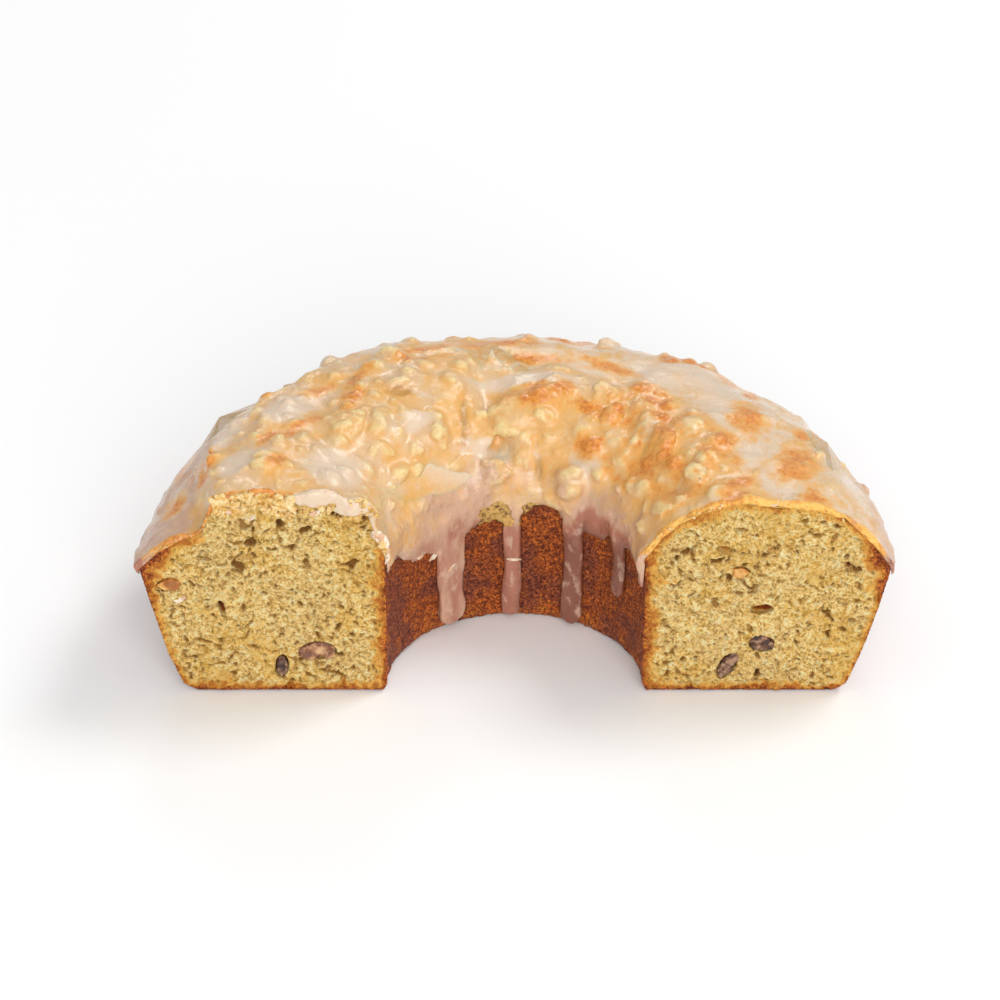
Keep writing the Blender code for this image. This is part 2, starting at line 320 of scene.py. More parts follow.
def surface_tree(work: bmesh.types.BMesh) -> BVHTree:
    """A surface for rays and distances.

    Args:
        work: its faces, which are freed.

    Returns:
        The surface.
    """
    tree = BVHTree.FromBMesh(work)
    work.free()
    return tree


def surface_of(piece: Piece) -> BVHTree:
    """The surface of a piece, for rays and distances."""
    return BVHTree.FromObject(piece, bpy.context.evaluated_depsgraph_get())


def vertex_rows(piece: Piece, name: str) -> np.ndarray:
    """What each vertex of a piece has under a name.

    Args:
        piece: the piece.
        name: co for the places, or normal.

    Returns:
        One row of three for each vertex.
    """
    rows = np.empty(len(piece.data.vertices) * 3, np.float32)
    piece.data.vertices.foreach_get(name, rows)
    return rows.reshape(-1, 3).astype(float)


def points_of(piece: Piece) -> np.ndarray:
    """The places of a piece's vertices, one row each."""
    return vertex_rows(piece, "co")


def normals_of(piece: Piece) -> np.ndarray:
    """The normals of a piece's vertices, one row each."""
    return vertex_rows(piece, "normal")


def move_points(piece: Piece, places: np.ndarray) -> None:
    """Puts a piece's vertices at new places."""
    piece.data.vertices.foreach_set("co", places.astype(np.float32).reshape(-1))
    piece.data.update()


def store(piece: Piece, name: str, values: np.ndarray) -> None:
    """Stores one number for each vertex, for a finish to read."""
    attribute = piece.data.attributes.get(name) or piece.data.attributes.new(name, "FLOAT", "POINT")
    attribute.data.foreach_set("value", values.astype(np.float32))


def read(piece: Piece, name: str) -> np.ndarray:
    """The numbers stored on a piece's vertices.

    Args:
        piece: the piece.
        name: the name that they are stored under.

    Returns:
        One number for each vertex.
    """
    values = np.empty(len(piece.data.vertices), np.float32)
    piece.data.attributes[name].data.foreach_get("value", values)
    return values.astype(float)


def paint_group(piece: Piece, name: str, weights: np.ndarray, levels: int = 16) -> None:
    """Writes a vertex group from weights between 0 and 1, in even levels.

    Args:
        piece: the piece.
        name: the group's name.
        weights: one weight for each vertex.
        levels: how many steps the weights are rounded to.
    """
    group = piece.vertex_groups.new(name=name)
    steps = np.round(weights * levels).astype(int)
    for step in range(1, levels + 1):
        members = np.nonzero(steps == step)[0]
        if len(members):
            group.add(members.tolist(), step / levels, "REPLACE")


def add_relief(piece: Piece, layers: Iterable[Relief]) -> None:
    """Pushes a piece's surface by layers of procedural relief.

    Args:
        piece: the piece.
        layers: the layers, one after the other.
    """
    for layer in layers:
        texture = bpy.data.textures.new("relief", layer.pattern.value)
        texture.noise_scale = layer.size
        if layer.pattern is Pattern.CLOUDS:
            texture.noise_depth = layer.octaves
        else:
            texture.distance_metric = "DISTANCE_SQUARED"
        apply_modifier(
            piece, "DISPLACE", texture=texture, texture_coords="LOCAL", strength=layer.height,
            mid_level=layer.middle, vertex_group=layer.group, direction=layer.direction.value,
        )


def thin_out(piece: Piece, share: float, kept: str) -> None:
    """Thins out a piece's mesh, first of all outside a vertex group.

    Args:
        piece: the piece.
        share: how much of the mesh stays.
        kept: the group that is spared.
    """
    apply_modifier(
        piece, "DECIMATE", ratio=share, vertex_group=kept, invert_vertex_group=True, vertex_group_factor=10
    )


def ring_places(places: np.ndarray) -> tuple[np.ndarray, np.ndarray, np.ndarray]:
    """Where points lie on the ring.

    Args:
        places: the points.

    Returns:
        The angle in degrees, the place across the crown and the radius of each.
    """
    x, y = places[:, 0], places[:, 1] - CUT_Y
    radius = np.hypot(x, y)
    angle = np.degrees(np.arctan2(np.maximum(y, 0.0), x))
    return angle, (radius - MIDDLE_RADIUS) / HALF_WIDTH, radius


def spot_cover(patches: Sequence[Spot], places: np.ndarray, edge: float = 0.5) -> np.ndarray:
    """How far each point is covered by any of some patches.

    Args:
        patches: the patches.
        places: the points.
        edge: the share of a patch's size over which it fades.

    Returns:
        1 inside a patch, 0 outside, and a fade between.
    """
    angle, across, radius = ring_places(places)
    cover = np.zeros(len(places))
    for spot in patches:
        along = np.radians(angle - spot.angle) * radius
        out = (across - spot.across) * HALF_WIDTH
        turn = math.radians(spot.turn)
        a = (along * math.cos(turn) + out * math.sin(turn)) / spot.length
        b = (out * math.cos(turn) - along * math.sin(turn)) / spot.width
        cover = np.maximum(cover, rise(np.hypot(a, b), 1.0 + edge, 1.0 - edge))
    return cover


def noise_values(places: np.ndarray, size: float, seed: float = 0.0) -> np.ndarray:
    """Smooth noise between -1 and 1 at each point, with features of a given size."""
    shift = Vector((seed, seed * 0.7, seed * 1.3))
    return np.array([noise.noise(Vector(place) / size + shift) for place in places])


def bend(place: Vector, size: float) -> Vector:
    """Smooth noise along each axis at a point, with features of a given size."""
    shifts = (11.0, 37.0, 73.0)
    return Vector(noise.noise(place / size + Vector((shift, 2 * shift, 0.5 * shift))) for shift in shifts)


def finish_piece(piece: Piece, material: Material, nodes: Sequence[str] = ()) -> None:
    """Gives a piece its finish and its smooth shading, and joins it to the cake.

    Args:
        piece: the piece.
        material: its finish.
        nodes: the CAD nodes that it stands for.
    """
    piece.data.materials.clear()
    piece.data.materials.append(material)
    piece.vertex_groups.clear()
    select_only(piece)
    bpy.ops.object.shade_smooth()
    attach(piece, ROOT)
    if nodes:
        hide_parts(*nodes)
    log.info("%s: %d triangles", piece.name, sum(len(face.vertices) - 2 for face in piece.data.polygons))


def placed_copy(pattern: Piece, place: Matrix) -> Piece:
    """A copy of a pattern with a mesh of its own, put in its place.

    Args:
        pattern: the pattern.
        place: where it goes, with its turn and its size.

    Returns:
        The copy.
    """
    copy = bpy.data.objects.new(pattern.name, pattern.data.copy())
    copy.data.transform(place)
    bpy.context.scene.collection.objects.link(copy)
    return copy


def join_pieces(base: Piece, others: Sequence[Piece], patterns: Iterable[Piece] = ()) -> None:
    """Joins other pieces into a base piece.

    Args:
        base: the base piece.
        others: the pieces that go into it.
        patterns: what they were copied from, which is taken away.
    """
    for pattern in patterns:
        bpy.data.objects.remove(pattern)
    select_only(base, others)
    bpy.ops.object.join()


def nugget_pattern(variant: int) -> Piece:
    """Models a knobbly nugget of crumble, one unit across.

    Args:
        variant: which of the differing nuggets it is.

    Returns:
        The pattern, to be copied.
    """
    bpy.ops.object.select_all(action="DESELECT")
    bpy.ops.mesh.primitive_ico_sphere_add(subdivisions=2, radius=0.5)
    nugget = bpy.context.object
    nugget.name = f"nugget_{variant}"
    edit_all(nugget, bpy.ops.transform.vertex_random, offset=0.08, uniform=0.2, normal=0.5, seed=variant)
    add_relief(nugget, [Relief(Pattern.CLOUDS, 0.40 + 0.06 * variant, 0.40)])
    return nugget


def shard_pattern(variant: int) -> Piece:
    """Models a broken flake of set glaze, one unit across.

    Args:
        variant: which of the differing flakes it is.

    Returns:
        The pattern, to be copied.
    """
    bpy.ops.object.select_all(action="DESELECT")
    bpy.ops.mesh.primitive_grid_add(x_subdivisions=12, y_subdivisions=4, size=1.0)
    shard = bpy.context.object
    shard.name = f"shard_{variant}"
    edit_all(shard, bpy.ops.transform.vertex_random, offset=0.05, uniform=1.0, normal=0.0, seed=11 + variant)
    places = points_of(shard)
    end = np.abs(2 * places[:, 0])
    places[:, 1] = places[:, 1] * (1.0 - 0.55 * end**2) + (0.9 + 0.5 * variant) * places[:, 0] ** 2
    places[:, 2] += 0.3 * places[:, 0] ** 2
    move_points(shard, places)
    apply_modifier(shard, "SOLIDIFY", thickness=0.16, offset=0.0)
    add_relief(shard, [Relief(Pattern.CLOUDS, 0.6 + 0.1 * variant, 0.35)])
    return shard


class ShaderBoard:
    """The node tree of one finish, with short calls for the nodes that the finishes share."""

    def __init__(self, name: str) -> None:
        """Starts a finish with a plain surface and the piece's own coordinates.

        Args:
            name: the finish's name.
        """
        self.material = bpy.data.materials.new(name)
        self.material.use_nodes = True
        self.tree = self.material.node_tree
        self.surface = self.tree.nodes["Principled BSDF"]
        self.place = self.add("ShaderNodeTexCoord").outputs["Object"]

    def add(self, kind: str, *values: object, **settings: object) -> bpy.types.Node:
        """Adds a node.

        Args:
            kind: its type.
            values: what goes into its first sockets.
            settings: its own settings.

        Returns:
            The node.
        """
        node = self.tree.nodes.new(kind)
        for name, value in settings.items():
            setattr(node, name, value)
        for socket, value in zip(node.inputs, values):
            self.put(socket, value)
        return node

    def put(self, socket: Socket, value: object) -> None:
        """Links a socket to another one, or sets its value.

        Args:
            socket: the socket.
            value: the other socket, or a number, a colour or a vector.
        """
        if isinstance(value, Socket):
            self.tree.links.new(value, socket)
        elif isinstance(value, tuple):
            socket.default_value = (*value, 1.0) if len(value) == 3 and socket.type == "RGBA" else value
        else:
            socket.default_value = value

    def stored(self, name: str) -> Socket:
        """A number stored on the piece's vertices."""
        return self.add("ShaderNodeAttribute", attribute_name=name).outputs["Fac"]

    def stretched(self, height: float) -> Socket:
        """The piece's own coordinates, with the height scaled."""
        mapping = self.add("ShaderNodeMapping", self.place)
        mapping.inputs["Scale"].default_value = (1.0, 1.0, height)
        return mapping.outputs["Vector"]

    def texture(self, kind: str, size: float, place: Socket | None = None) -> bpy.types.Node:
        """Adds a texture.

        Args:
            kind: the node's type.
            size: the size of its features, in metres.
            place: the coordinates that it is laid on, or nothing for the piece's own.

        Returns:
            The node.
        """
        node = self.add(kind, place or self.place)
        node.inputs["Scale"].default_value = 1.0 / size
        return node

    def noise(
        self, size: float, detail: float = 3.0, rough: float = 0.5, place: Socket | None = None
    ) -> Socket:
        """Adds noise between about 0.2 and 0.8.

        Args:
            size: the size of its features, in metres.
            detail: how much finer detail it has.
            rough: how strong the detail is.
            place: the coordinates that it is laid on, or nothing for the piece's own.

        Returns:
            The noise.
        """
        node = self.texture("ShaderNodeTexNoise", size, place)
        node.inputs["Detail"].default_value = detail
        node.inputs["Roughness"].default_value = rough
        return node.outputs["Fac"]

    def cells(self, size: float) -> Socket:
        """The distance from the middle of cells of a given size in metres."""
        return self.texture("ShaderNodeTexVoronoi", size).outputs["Distance"]

    def math(self, operation: str, first: object, second: object, clamp: bool = False) -> Socket:
        """The result of a sum on two numbers, kept between 0 and 1 where asked."""
        return self.add("ShaderNodeMath", first, second, operation=operation, use_clamp=clamp).outputs[0]

    def times(self, first: object, second: object) -> Socket:
        """One number times another."""
        return self.math("MULTIPLY", first, second)

    def stirred(self, value: object, cloud: Socket, amount: float) -> Socket:
        """A number with noise laid over it, by an amount."""
        return self.math("ADD", value, self.times(self.math("SUBTRACT", cloud, 0.5), amount))

    def mixed(self, first: Socket, share: float, second: Socket) -> Socket:
        """Two noises in one, the first by its share and the second by the rest."""
        return self.math("ADD", self.times(first, share), self.times(second, 1.0 - share))

    def span(
        self, value: object, low: float, high: float, to_low: float = 0.0, to_high: float = 1.0
    ) -> Socket:
        """A number mapped smoothly from one range to another."""
        values = (value, low, high, to_low, to_high)
        return self.add("ShaderNodeMapRange", *values, interpolation_type="SMOOTHSTEP").outputs[0]

    def blend(self, share: object, first: object, second: object, mode: str = "MIX") -> Socket:
        """Blends two colours.

        Args:
            share: how much of the second colour comes in.
            first: the first colour.
            second: the second colour.
            mode: the way they blend.

        Returns:
            The colour.
        """
        node = self.add("ShaderNodeMix", share, data_type="RGBA", blend_type=mode)
        self.put(node.inputs[6], first)
        self.put(node.inputs[7], second)
        return node.outputs[2]

    def tinted(
        self, colour: object, tint: object, value: Socket, low: float, high: float, most: float = 1.0
    ) -> Socket:
        """A colour that turns by most of the way into another, as a value goes from low to high."""
        return self.blend(self.span(value, low, high, 0.0, most), colour, tint)

    def ramp(self, value: object, *stops: tuple[float, Colour]) -> Socket:
        """Reads a colour from a row of stops.

        Args:
            value: the number that picks it.
            stops: the stops' places and colours.

        Returns:
            The colour.
        """
        node = self.add("ShaderNodeValToRGB", value)
        band = node.color_ramp
        while len(band.elements) < len(stops):
            band.elements.new(0.5)
        for element, (position, colour) in zip(band.elements, stops):
            element.position = position
            element.color = (*colour, 1.0)
        return node.outputs[0]

    def bump(self, height: object, depth: float, strength: float = 1.0, over: Socket | None = None) -> Socket:
        """Bends the normal by a height.

        Args:
            height: the height, whose full range stands for the depth.
            depth: the depth in metres.
            strength: how much of the bend comes in.
            over: the normal that it is laid over, or nothing for the piece's own.

        Returns:
            The bent normal.
        """
        node = self.add("ShaderNodeBump")
        node.inputs["Strength"].default_value = strength
        node.inputs["Distance"].default_value = depth
        self.put(node.inputs["Height"], height)
        if over is not None:
            self.put(node.inputs["Normal"], over)
        return node.outputs[0]

    def dress(
        self, colour: object, roughness: object, normal: Socket | None = None, **constants: float
    ) -> Material:
        """Sets the surface's sockets.

        Args:
            colour: the base colour.
            roughness: the roughness.
            normal: the bent normal, or nothing.
            constants: other sockets by name, with spaces written as underscores.

        Returns:
            The finished material.
        """
        self.put(self.surface.inputs["Base Color"], colour)
        self.put(self.surface.inputs["Roughness"], roughness)
        if normal is not None:
            self.put(self.surface.inputs["Normal"], normal)
        for name, value in constants.items():
            self.put(self.surface.inputs[name.replace("_", " ")], value)
        return self.material


@dataclass(frozen=True)
class BakedCrumb:
    """The finish of the sponge: golden crumb where cut, browning into a grainy crust, with painted shade in
    its pores and pinholes.
    """

    crumb_dark: Colour = (0.46, 0.235, 0.035)
    crumb: Colour = (0.95, 0.60, 0.165)
    crumb_light: Colour = (1.0, 0.89, 0.48)
    straw: Colour = (0.86, 0.62, 0.27)
    # Painted shade on the floors and the deepest parts of the pores.
    pore_floor_shade: Colour = (0.30, 0.125, 0.016)
    deep: Colour = (0.13, 0.05, 0.008)
    golden: Colour = (0.93, 0.50, 0.10)
    amber: Colour = (0.82, 0.47, 0.09)
    orange: Colour = (0.64, 0.23, 0.028)
    brown: Colour = (0.45, 0.098, 0.015)
    dark: Colour = (0.22, 0.040, 0.009)
    grain_dark: Colour = (0.36, 0.25, 0.20)
    grain: Colour = (1.0, 1.0, 1.0)
    grain_light: Colour = (2.0, 2.3, 1.6)
    plum: Colour = (0.215, 0.050, 0.030)
    crumb_roughness: float = 0.74
    crust_roughness: float = 0.50

    def make(self) -> Material:
        """Builds the material.

        Returns:
            The material.
        """
        board = ShaderBoard("baked_crumb")
        fine = board.noise(0.75 * MM, 4.0, 0.7)
        grain = board.noise(2.2 * MM, 4.0, 0.6)
        patch = board.noise(13 * MM, 2.0)
        browning = board.stored("browning")
        # Painted shade: tiny pinholes darken the crumb colour, and also press small pits into its bump.
        pinholes_and_shade = board.span(board.cells(1.25 * MM), 0.12, 0.36, 1.0, 0.0)
        pinholes_and_shade = board.times(pinholes_and_shade, board.span(patch, 0.40, 0.58, 0.03, 0.12))
        torn = board.math("SUBTRACT", board.mixed(fine, 0.62, grain), pinholes_and_shade)
        crumb = self.torn_crumb(board, torn, patch)
        ragged = board.stirred(board.stirred(0.0, grain, 0.9), fine, 0.5)
        ragged = board.times(ragged, board.span(browning, 0.0, 0.15))
        baked = board.math("ADD", browning, ragged, clamp=True)
        kernels = board.noise(0.62 * MM, 3.0, 0.7)
        kernels = board.math("ADD", kernels, board.times(board.cells(1.1 * MM), -0.20))
        crust = self.crust(board, baked, patch, kernels)
        colour = board.tinted(crumb, crust, baked, 0.06, 0.20)
        normal = board.bump(kernels, 1.3 * MM, 0.55, over=board.bump(torn, 1.6 * MM))
        roughness = board.span(baked, 0.3, 0.9, self.crumb_roughness, self.crust_roughness)
        return board.dress(
            colour, roughness, normal, Subsurface_Weight=0.06, Subsurface_Scale=0.0012, Specular_IOR_Level=0.3
        )

    def torn_crumb(self, board: ShaderBoard, torn: Socket, patch: Socket) -> Socket:
        """The golden crumb of the cut faces, with painted shade that darkens its pores by their depth.

        Args:
            board: the finish's board.
            torn: the noise of the crumb.
            patch: noise of about a centimetre.

        Returns:
            The colour.
        """
        pore = board.stored("pore")
        colour = board.ramp(
            torn, (0.425, self.crumb_dark), (0.48, self.crumb), (0.515, self.crumb), (0.565, self.crumb_light)
        )
        colour = board.tinted(colour, self.straw, patch, 0.40, 0.62, 0.30)
        colour = board.tinted(colour, self.amber, patch, 0.50, 0.36, 0.45)
        # Painted shade: the pores turn darker the deeper they are carved.
        colour = board.tinted(colour, self.pore_floor_shade, pore, 0.05, 1.1, 0.95)
        return board.tinted(colour, self.deep, pore, 1.1, 2.0, 0.8)

    def crust(self, board: ShaderBoard, baked: Socket, patch: Socket, kernels: Socket) -> Socket:
        """The crust, from golden to dark brown, with plum patches on the walls and a fine grain.

        Args:
            board: the finish's board.
            baked: how brown each point is.
            patch: noise of about a centimetre.
            kernels: the noise of the grain.

        Returns:
            The colour.
        """
        stops = (0.20, self.golden), (0.40, self.orange), (0.68, self.brown), (1.0, self.dark)
        colour = board.ramp(baked, (0.0, self.golden), *stops)
        plum_share = board.times(board.span(patch, 0.47, 0.62, 0.0, 0.75), board.stored("wall"))
        colour = board.blend(plum_share, colour, self.plum)
        grainy = board.ramp(kernels, (0.30, self.grain_dark), (0.40, self.grain), (0.53, self.grain_light))
        grained = board.blend(1.0, colour, grainy, "MULTIPLY")
        return board.tinted(colour, grained, board.stored("browning"), 0.34, 0.68, 0.9)


@dataclass(frozen=True)
class GlazedCrumble:
    """The finish of the icing: sugar glaze over yellow lumps, browned peaks and thin runs on the crust, with
    painted shade in its dips, in its clefts and on the right inner slope.
    """

    cream: Colour = (0.69, 0.452, 0.238)
    honey: Colour = (0.715, 0.395, 0.122)
    lump: Colour = (0.74, 0.51, 0.185)
    lump_light: Colour = (0.80, 0.64, 0.32)
    pool: Colour = (0.71, 0.555, 0.41)
    # Golden haze of the toast, and also the painted shade in the dips between the lumps.
    golden: Colour = (0.76, 0.39, 0.09)
    # The toast colours also paint shade into the dips of the right inner slope.
    toast: Colour = (0.75, 0.295, 0.044)
    toast_dark: Colour = (0.58, 0.175, 0.021)
    # The thin-glaze tints also paint shade on the right inner slope above the hem.
    thin: Colour = (0.57, 0.345, 0.225)
    run: Colour = (0.40, 0.155, 0.095)
    run_deep: Colour = (0.22, 0.070, 0.036)
    # Painted shade of the clefts between the blocks.
    cleft: Colour = (0.44, 0.225, 0.055)
    bare_dark: Colour = (0.15, 0.060, 0.010)
    bare: Colour = (0.44, 0.245, 0.05)
    bare_light: Colour = (0.64, 0.39, 0.115)
    rim_gold: Colour = (0.88, 0.44, 0.06)
    rim_brown: Colour = (0.66, 0.25, 0.028)
    rim_pale: Colour = (0.90, 0.52, 0.11)
    freckle: Colour = (0.52, 0.20, 0.035)
    milk: Colour = (0.66, 0.45, 0.33)
    dip_roughness: float = 0.25
    lump_roughness: float = 0.34

    def make(self) -> Material:
        """Builds the material.

        Returns:
            The material.
        """
        board = ShaderBoard("glazed_crumble")
        relief = board.stored("relief")
        fine = board.noise(1.1 * MM, 4.0, 0.62)
        grain = board.noise(3.6 * MM, 4.0, 0.55)
        patch = board.noise(11 * MM, 4.0, 0.55)
        colour = self.thinned(board, self.glaze(board, relief, fine, grain, patch))
        pool = board.stirred(board.stored("pool"), grain, 1.1)
        colour = self.toasted(board, board.tinted(colour, self.pool, pool, 0.25, 0.95, 0.9), fine)
        # Painted shade: the clefts are darkened golden brown.
        colour = board.tinted(colour, self.cleft, board.stored("cleft"), 0.25, 0.95, 0.8)
        rim = board.stirred(board.stored("rim"), grain, 1.4)
        gold = board.mixed(patch, 0.6, fine)
        gold = board.ramp(gold, (0.43, self.rim_brown), (0.49, self.rim_gold), (0.56, self.rim_pale))
        colour = board.tinted(colour, gold, rim, 0.30, 0.70, 0.92)
        bare = board.stirred(board.stored("bare"), grain, 1.6)
        crumb = board.mixed(fine, 0.55, grain)
        crumb = board.ramp(crumb, (0.455, self.bare_dark), (0.50, self.bare), (0.62, self.bare_light))
        colour = board.tinted(colour, crumb, bare, 0.42, 0.56)
        height = board.times(fine, board.span(relief, 0.0, 0.7, 0.25, 1.0))
        normal = board.bump(grain, 1.2 * MM, 0.35, over=board.bump(height, 0.45 * MM, 0.8))
        rough = board.span(relief, 0.0, 0.8, self.dip_roughness, self.lump_roughness)
        rough = board.math("ADD", rough, board.span(bare, 0.42, 0.56, 0.0, 0.3))
        rough = board.math("ADD", rough, board.span(patch, 0.42, 0.60, 0.0, 0.16))
        return board.dress(
            colour, rough, normal,
            Subsurface_Weight=0.2, Subsurface_Scale=0.002, Coat_Weight=0.28, Coat_Roughness=0.22,
        )

    def glaze(self, board: ShaderBoard, relief: Socket, fine: Socket, grain: Socket, patch: Socket) -> Socket:
        """The mottled cream of the glaze, with yellow lumps that stand out of it and painted shade tinting
        the dips between them golden.

        Args:
            board: the finish's board.
            relief: how far each point stands proud, in millimetres.
            fine: noise of about a millimetre.
            grain: noise of a few millimetres.
            patch: noise of about a centimetre.

        Returns:
            The colour.
        """
        lumps = board.ramp(fine, (0.36, self.lump), (0.62, self.lump_light))
        colour = board.tinted(self.cream, self.honey, patch, 0.40, 0.60)
        colour = board.tinted(colour, lumps, board.stirred(relief, grain, 1.2), 0.05, 0.70)
        # Painted shade: the dips between the lumps are tinted a darker golden.
        amber = board.times(board.span(relief, 0.0, -0.28, 0.0, 0.6), board.span(patch, 0.42, 0.54))
        colour = board.blend(amber, colour, self.golden)
        clear = board.span(board.stored("lumpy"), 0.50, 0.20, 0.0, 0.72)
        milky = board.times(board.span(relief, 0.05, -0.25, 0.0, 0.65), board.span(patch, 0.56, 0.43))
        milky = board.math("MAXIMUM", milky, board.times(clear, board.span(grain, 0.58, 0.44)))
        colour = board.blend(milky, colour, self.pool)
        colour = board.tinted(colour, self.pool, fine, 0.46, 0.36, 0.22)
        freckles = board.times(board.span(grain, 0.56, 0.70), board.span(fine, 0.50, 0.64, 0.1, 0.75))
        return board.blend(board.times(freckles, board.span(patch, 0.40, 0.56)), colour, self.freckle)

    def thinned(self, board: ShaderBoard, colour: Socket) -> Socket:
        """Lets the brown crust shine through where the glaze is thin, in soft upright streaks; the same tint
        is also painted shade on the right inner slope above the hem.

        Args:
            board: the finish's board.
            colour: the glaze.

        Returns:
            The colour.
        """
        thin = board.stored("thin")
        streaks = board.noise(5 * MM, 4.0, 0.6, board.stretched(0.3))
        colour = board.tinted(colour, self.thin, board.stirred(thin, streaks, 1.3), 0.20, 0.65)
        deep = board.stirred(thin, streaks, 0.9)
        colour = board.tinted(colour, self.run, deep, 0.66, 1.0)
        colour = board.tinted(colour, self.run_deep, deep, 1.0, 1.4)
        curds = board.noise(2.6 * MM, 4.0, 0.6, board.stretched(0.55))
        milky = board.times(board.span(curds, 0.52, 0.68, 0.0, 0.55), board.span(thin, 0.15, 0.5))
        return board.blend(milky, colour, self.milk)

    def toasted(self, board: ShaderBoard, colour: Socket, fine: Socket) -> Socket:
        """Browns the toast patches, from a golden haze at their edge to orange brown, and darkens the dips of
        the right inner slope as painted shade.

        Args:
            board: the finish's board.
            colour: the glaze.
            fine: noise of about a millimetre.

        Returns:
            The colour.
        """
        # The stored toast also holds the painted shade in the dips of the right inner slope.
        stored = board.stored("toast")
        haze = board.noise(5.0 * MM, 6.0, 0.62, self.warped(board))
        toast = board.times(board.stirred(stored, haze, 2.1), board.span(stored, 0.0, 0.3))
        toast = board.times(toast, board.span(board.stored("relief"), -0.4, 0.4, 0.75, 1.1))
        colour = board.tinted(colour, self.golden, toast, 0.05, 0.72, 0.9)
        dark = board.tinted(self.toast, self.toast_dark, fine, 0.40, 0.62)
        return board.tinted(colour, dark, toast, 0.38, 1.0, 0.95)

    @staticmethod
    def warped(board: ShaderBoard) -> Socket:
        """The piece's own coordinates, bent by soft noise.

        Args:
            board: the finish's board.

        Returns:
            The coordinates.
        """
        cloud = board.texture("ShaderNodeTexNoise", 8 * MM).outputs["Color"]
        shift = board.add("ShaderNodeVectorMath", cloud, operation="SCALE")
        shift.inputs["Scale"].default_value = 6 * MM
        return board.add("ShaderNodeVectorMath", board.place, shift.outputs[0], operation="ADD").outputs[0]


@dataclass(frozen=True)
class WalnutFlesh:
    """The finish of a piece of walnut."""

    tone: NutTone

    def make(self) -> Material:
        """Builds the material.

        Returns:
            The material.
        """
        skin, flesh, light = self.tone.value
        board = ShaderBoard(f"walnut_{self.tone.name.lower()}")
        mixed = board.mixed(board.noise(3.4 * MM), 0.72, board.noise(0.8 * MM, 3.0, 0.6))
        colour = board.ramp(mixed, (0.43, skin), (0.50, flesh), (0.60, light))
        return board.dress(colour, board.span(mixed, 0.4, 0.6, 0.42, 0.68), board.bump(mixed, 0.8 * MM, 0.9))


@dataclass(frozen=True)
class SetSugar:
    """The finish of the broken flakes of set glaze."""

    light: Colour = (0.86, 0.71, 0.56)
    warm: Colour = (0.72, 0.42, 0.26)

    def make(self) -> Material:
        """Builds the material.

        Returns:
            The material.
        """
        board = ShaderBoard("set_sugar")
        cloud = board.noise(2.5 * MM)
        colour = board.ramp(cloud, (0.40, self.warm), (0.58, self.light))
        normal = board.bump(cloud, 0.3 * MM, 0.6)
        return board.dress(colour, 0.38, normal, Subsurface_Weight=0.2, Subsurface_Scale=0.002)


@dataclass(frozen=True)
class DryCrumb:
    """The finish of the loose bits of crumble."""

    pale: Colour = (0.92, 0.75, 0.44)
    crumb: Colour = (0.76, 0.49, 0.16)
    golden: Colour = (0.58, 0.30, 0.055)

    def make(self) -> Material:
        """Builds the material.

        Returns:
            The material.
        """
        board = ShaderBoard("dry_crumb")
        cloud = board.noise(1.1 * MM, 4.0, 0.65)
        mixed = board.mixed(cloud, 0.6, board.noise(5.0 * MM, 2.0))
        colour = board.ramp(mixed, (0.40, self.golden), (0.49, self.crumb), (0.60, self.pale))
        return board.dress(colour, 0.75, board.bump(cloud, 0.5 * MM, 0.9))


@dataclass(frozen=True)
class WhiteFloor:
    """The finish of the studio floor."""

    dim: Colour = (0.93, 0.93, 0.93)
    bright: Colour = (0.94, 0.94, 0.94)

    def make(self) -> Material:
        """Builds the material."""
        board = ShaderBoard("white_floor")
        return board.dress(board.ramp(board.noise(0.4, 1.0), (0.3, self.dim), (0.7, self.bright)), 0.9)


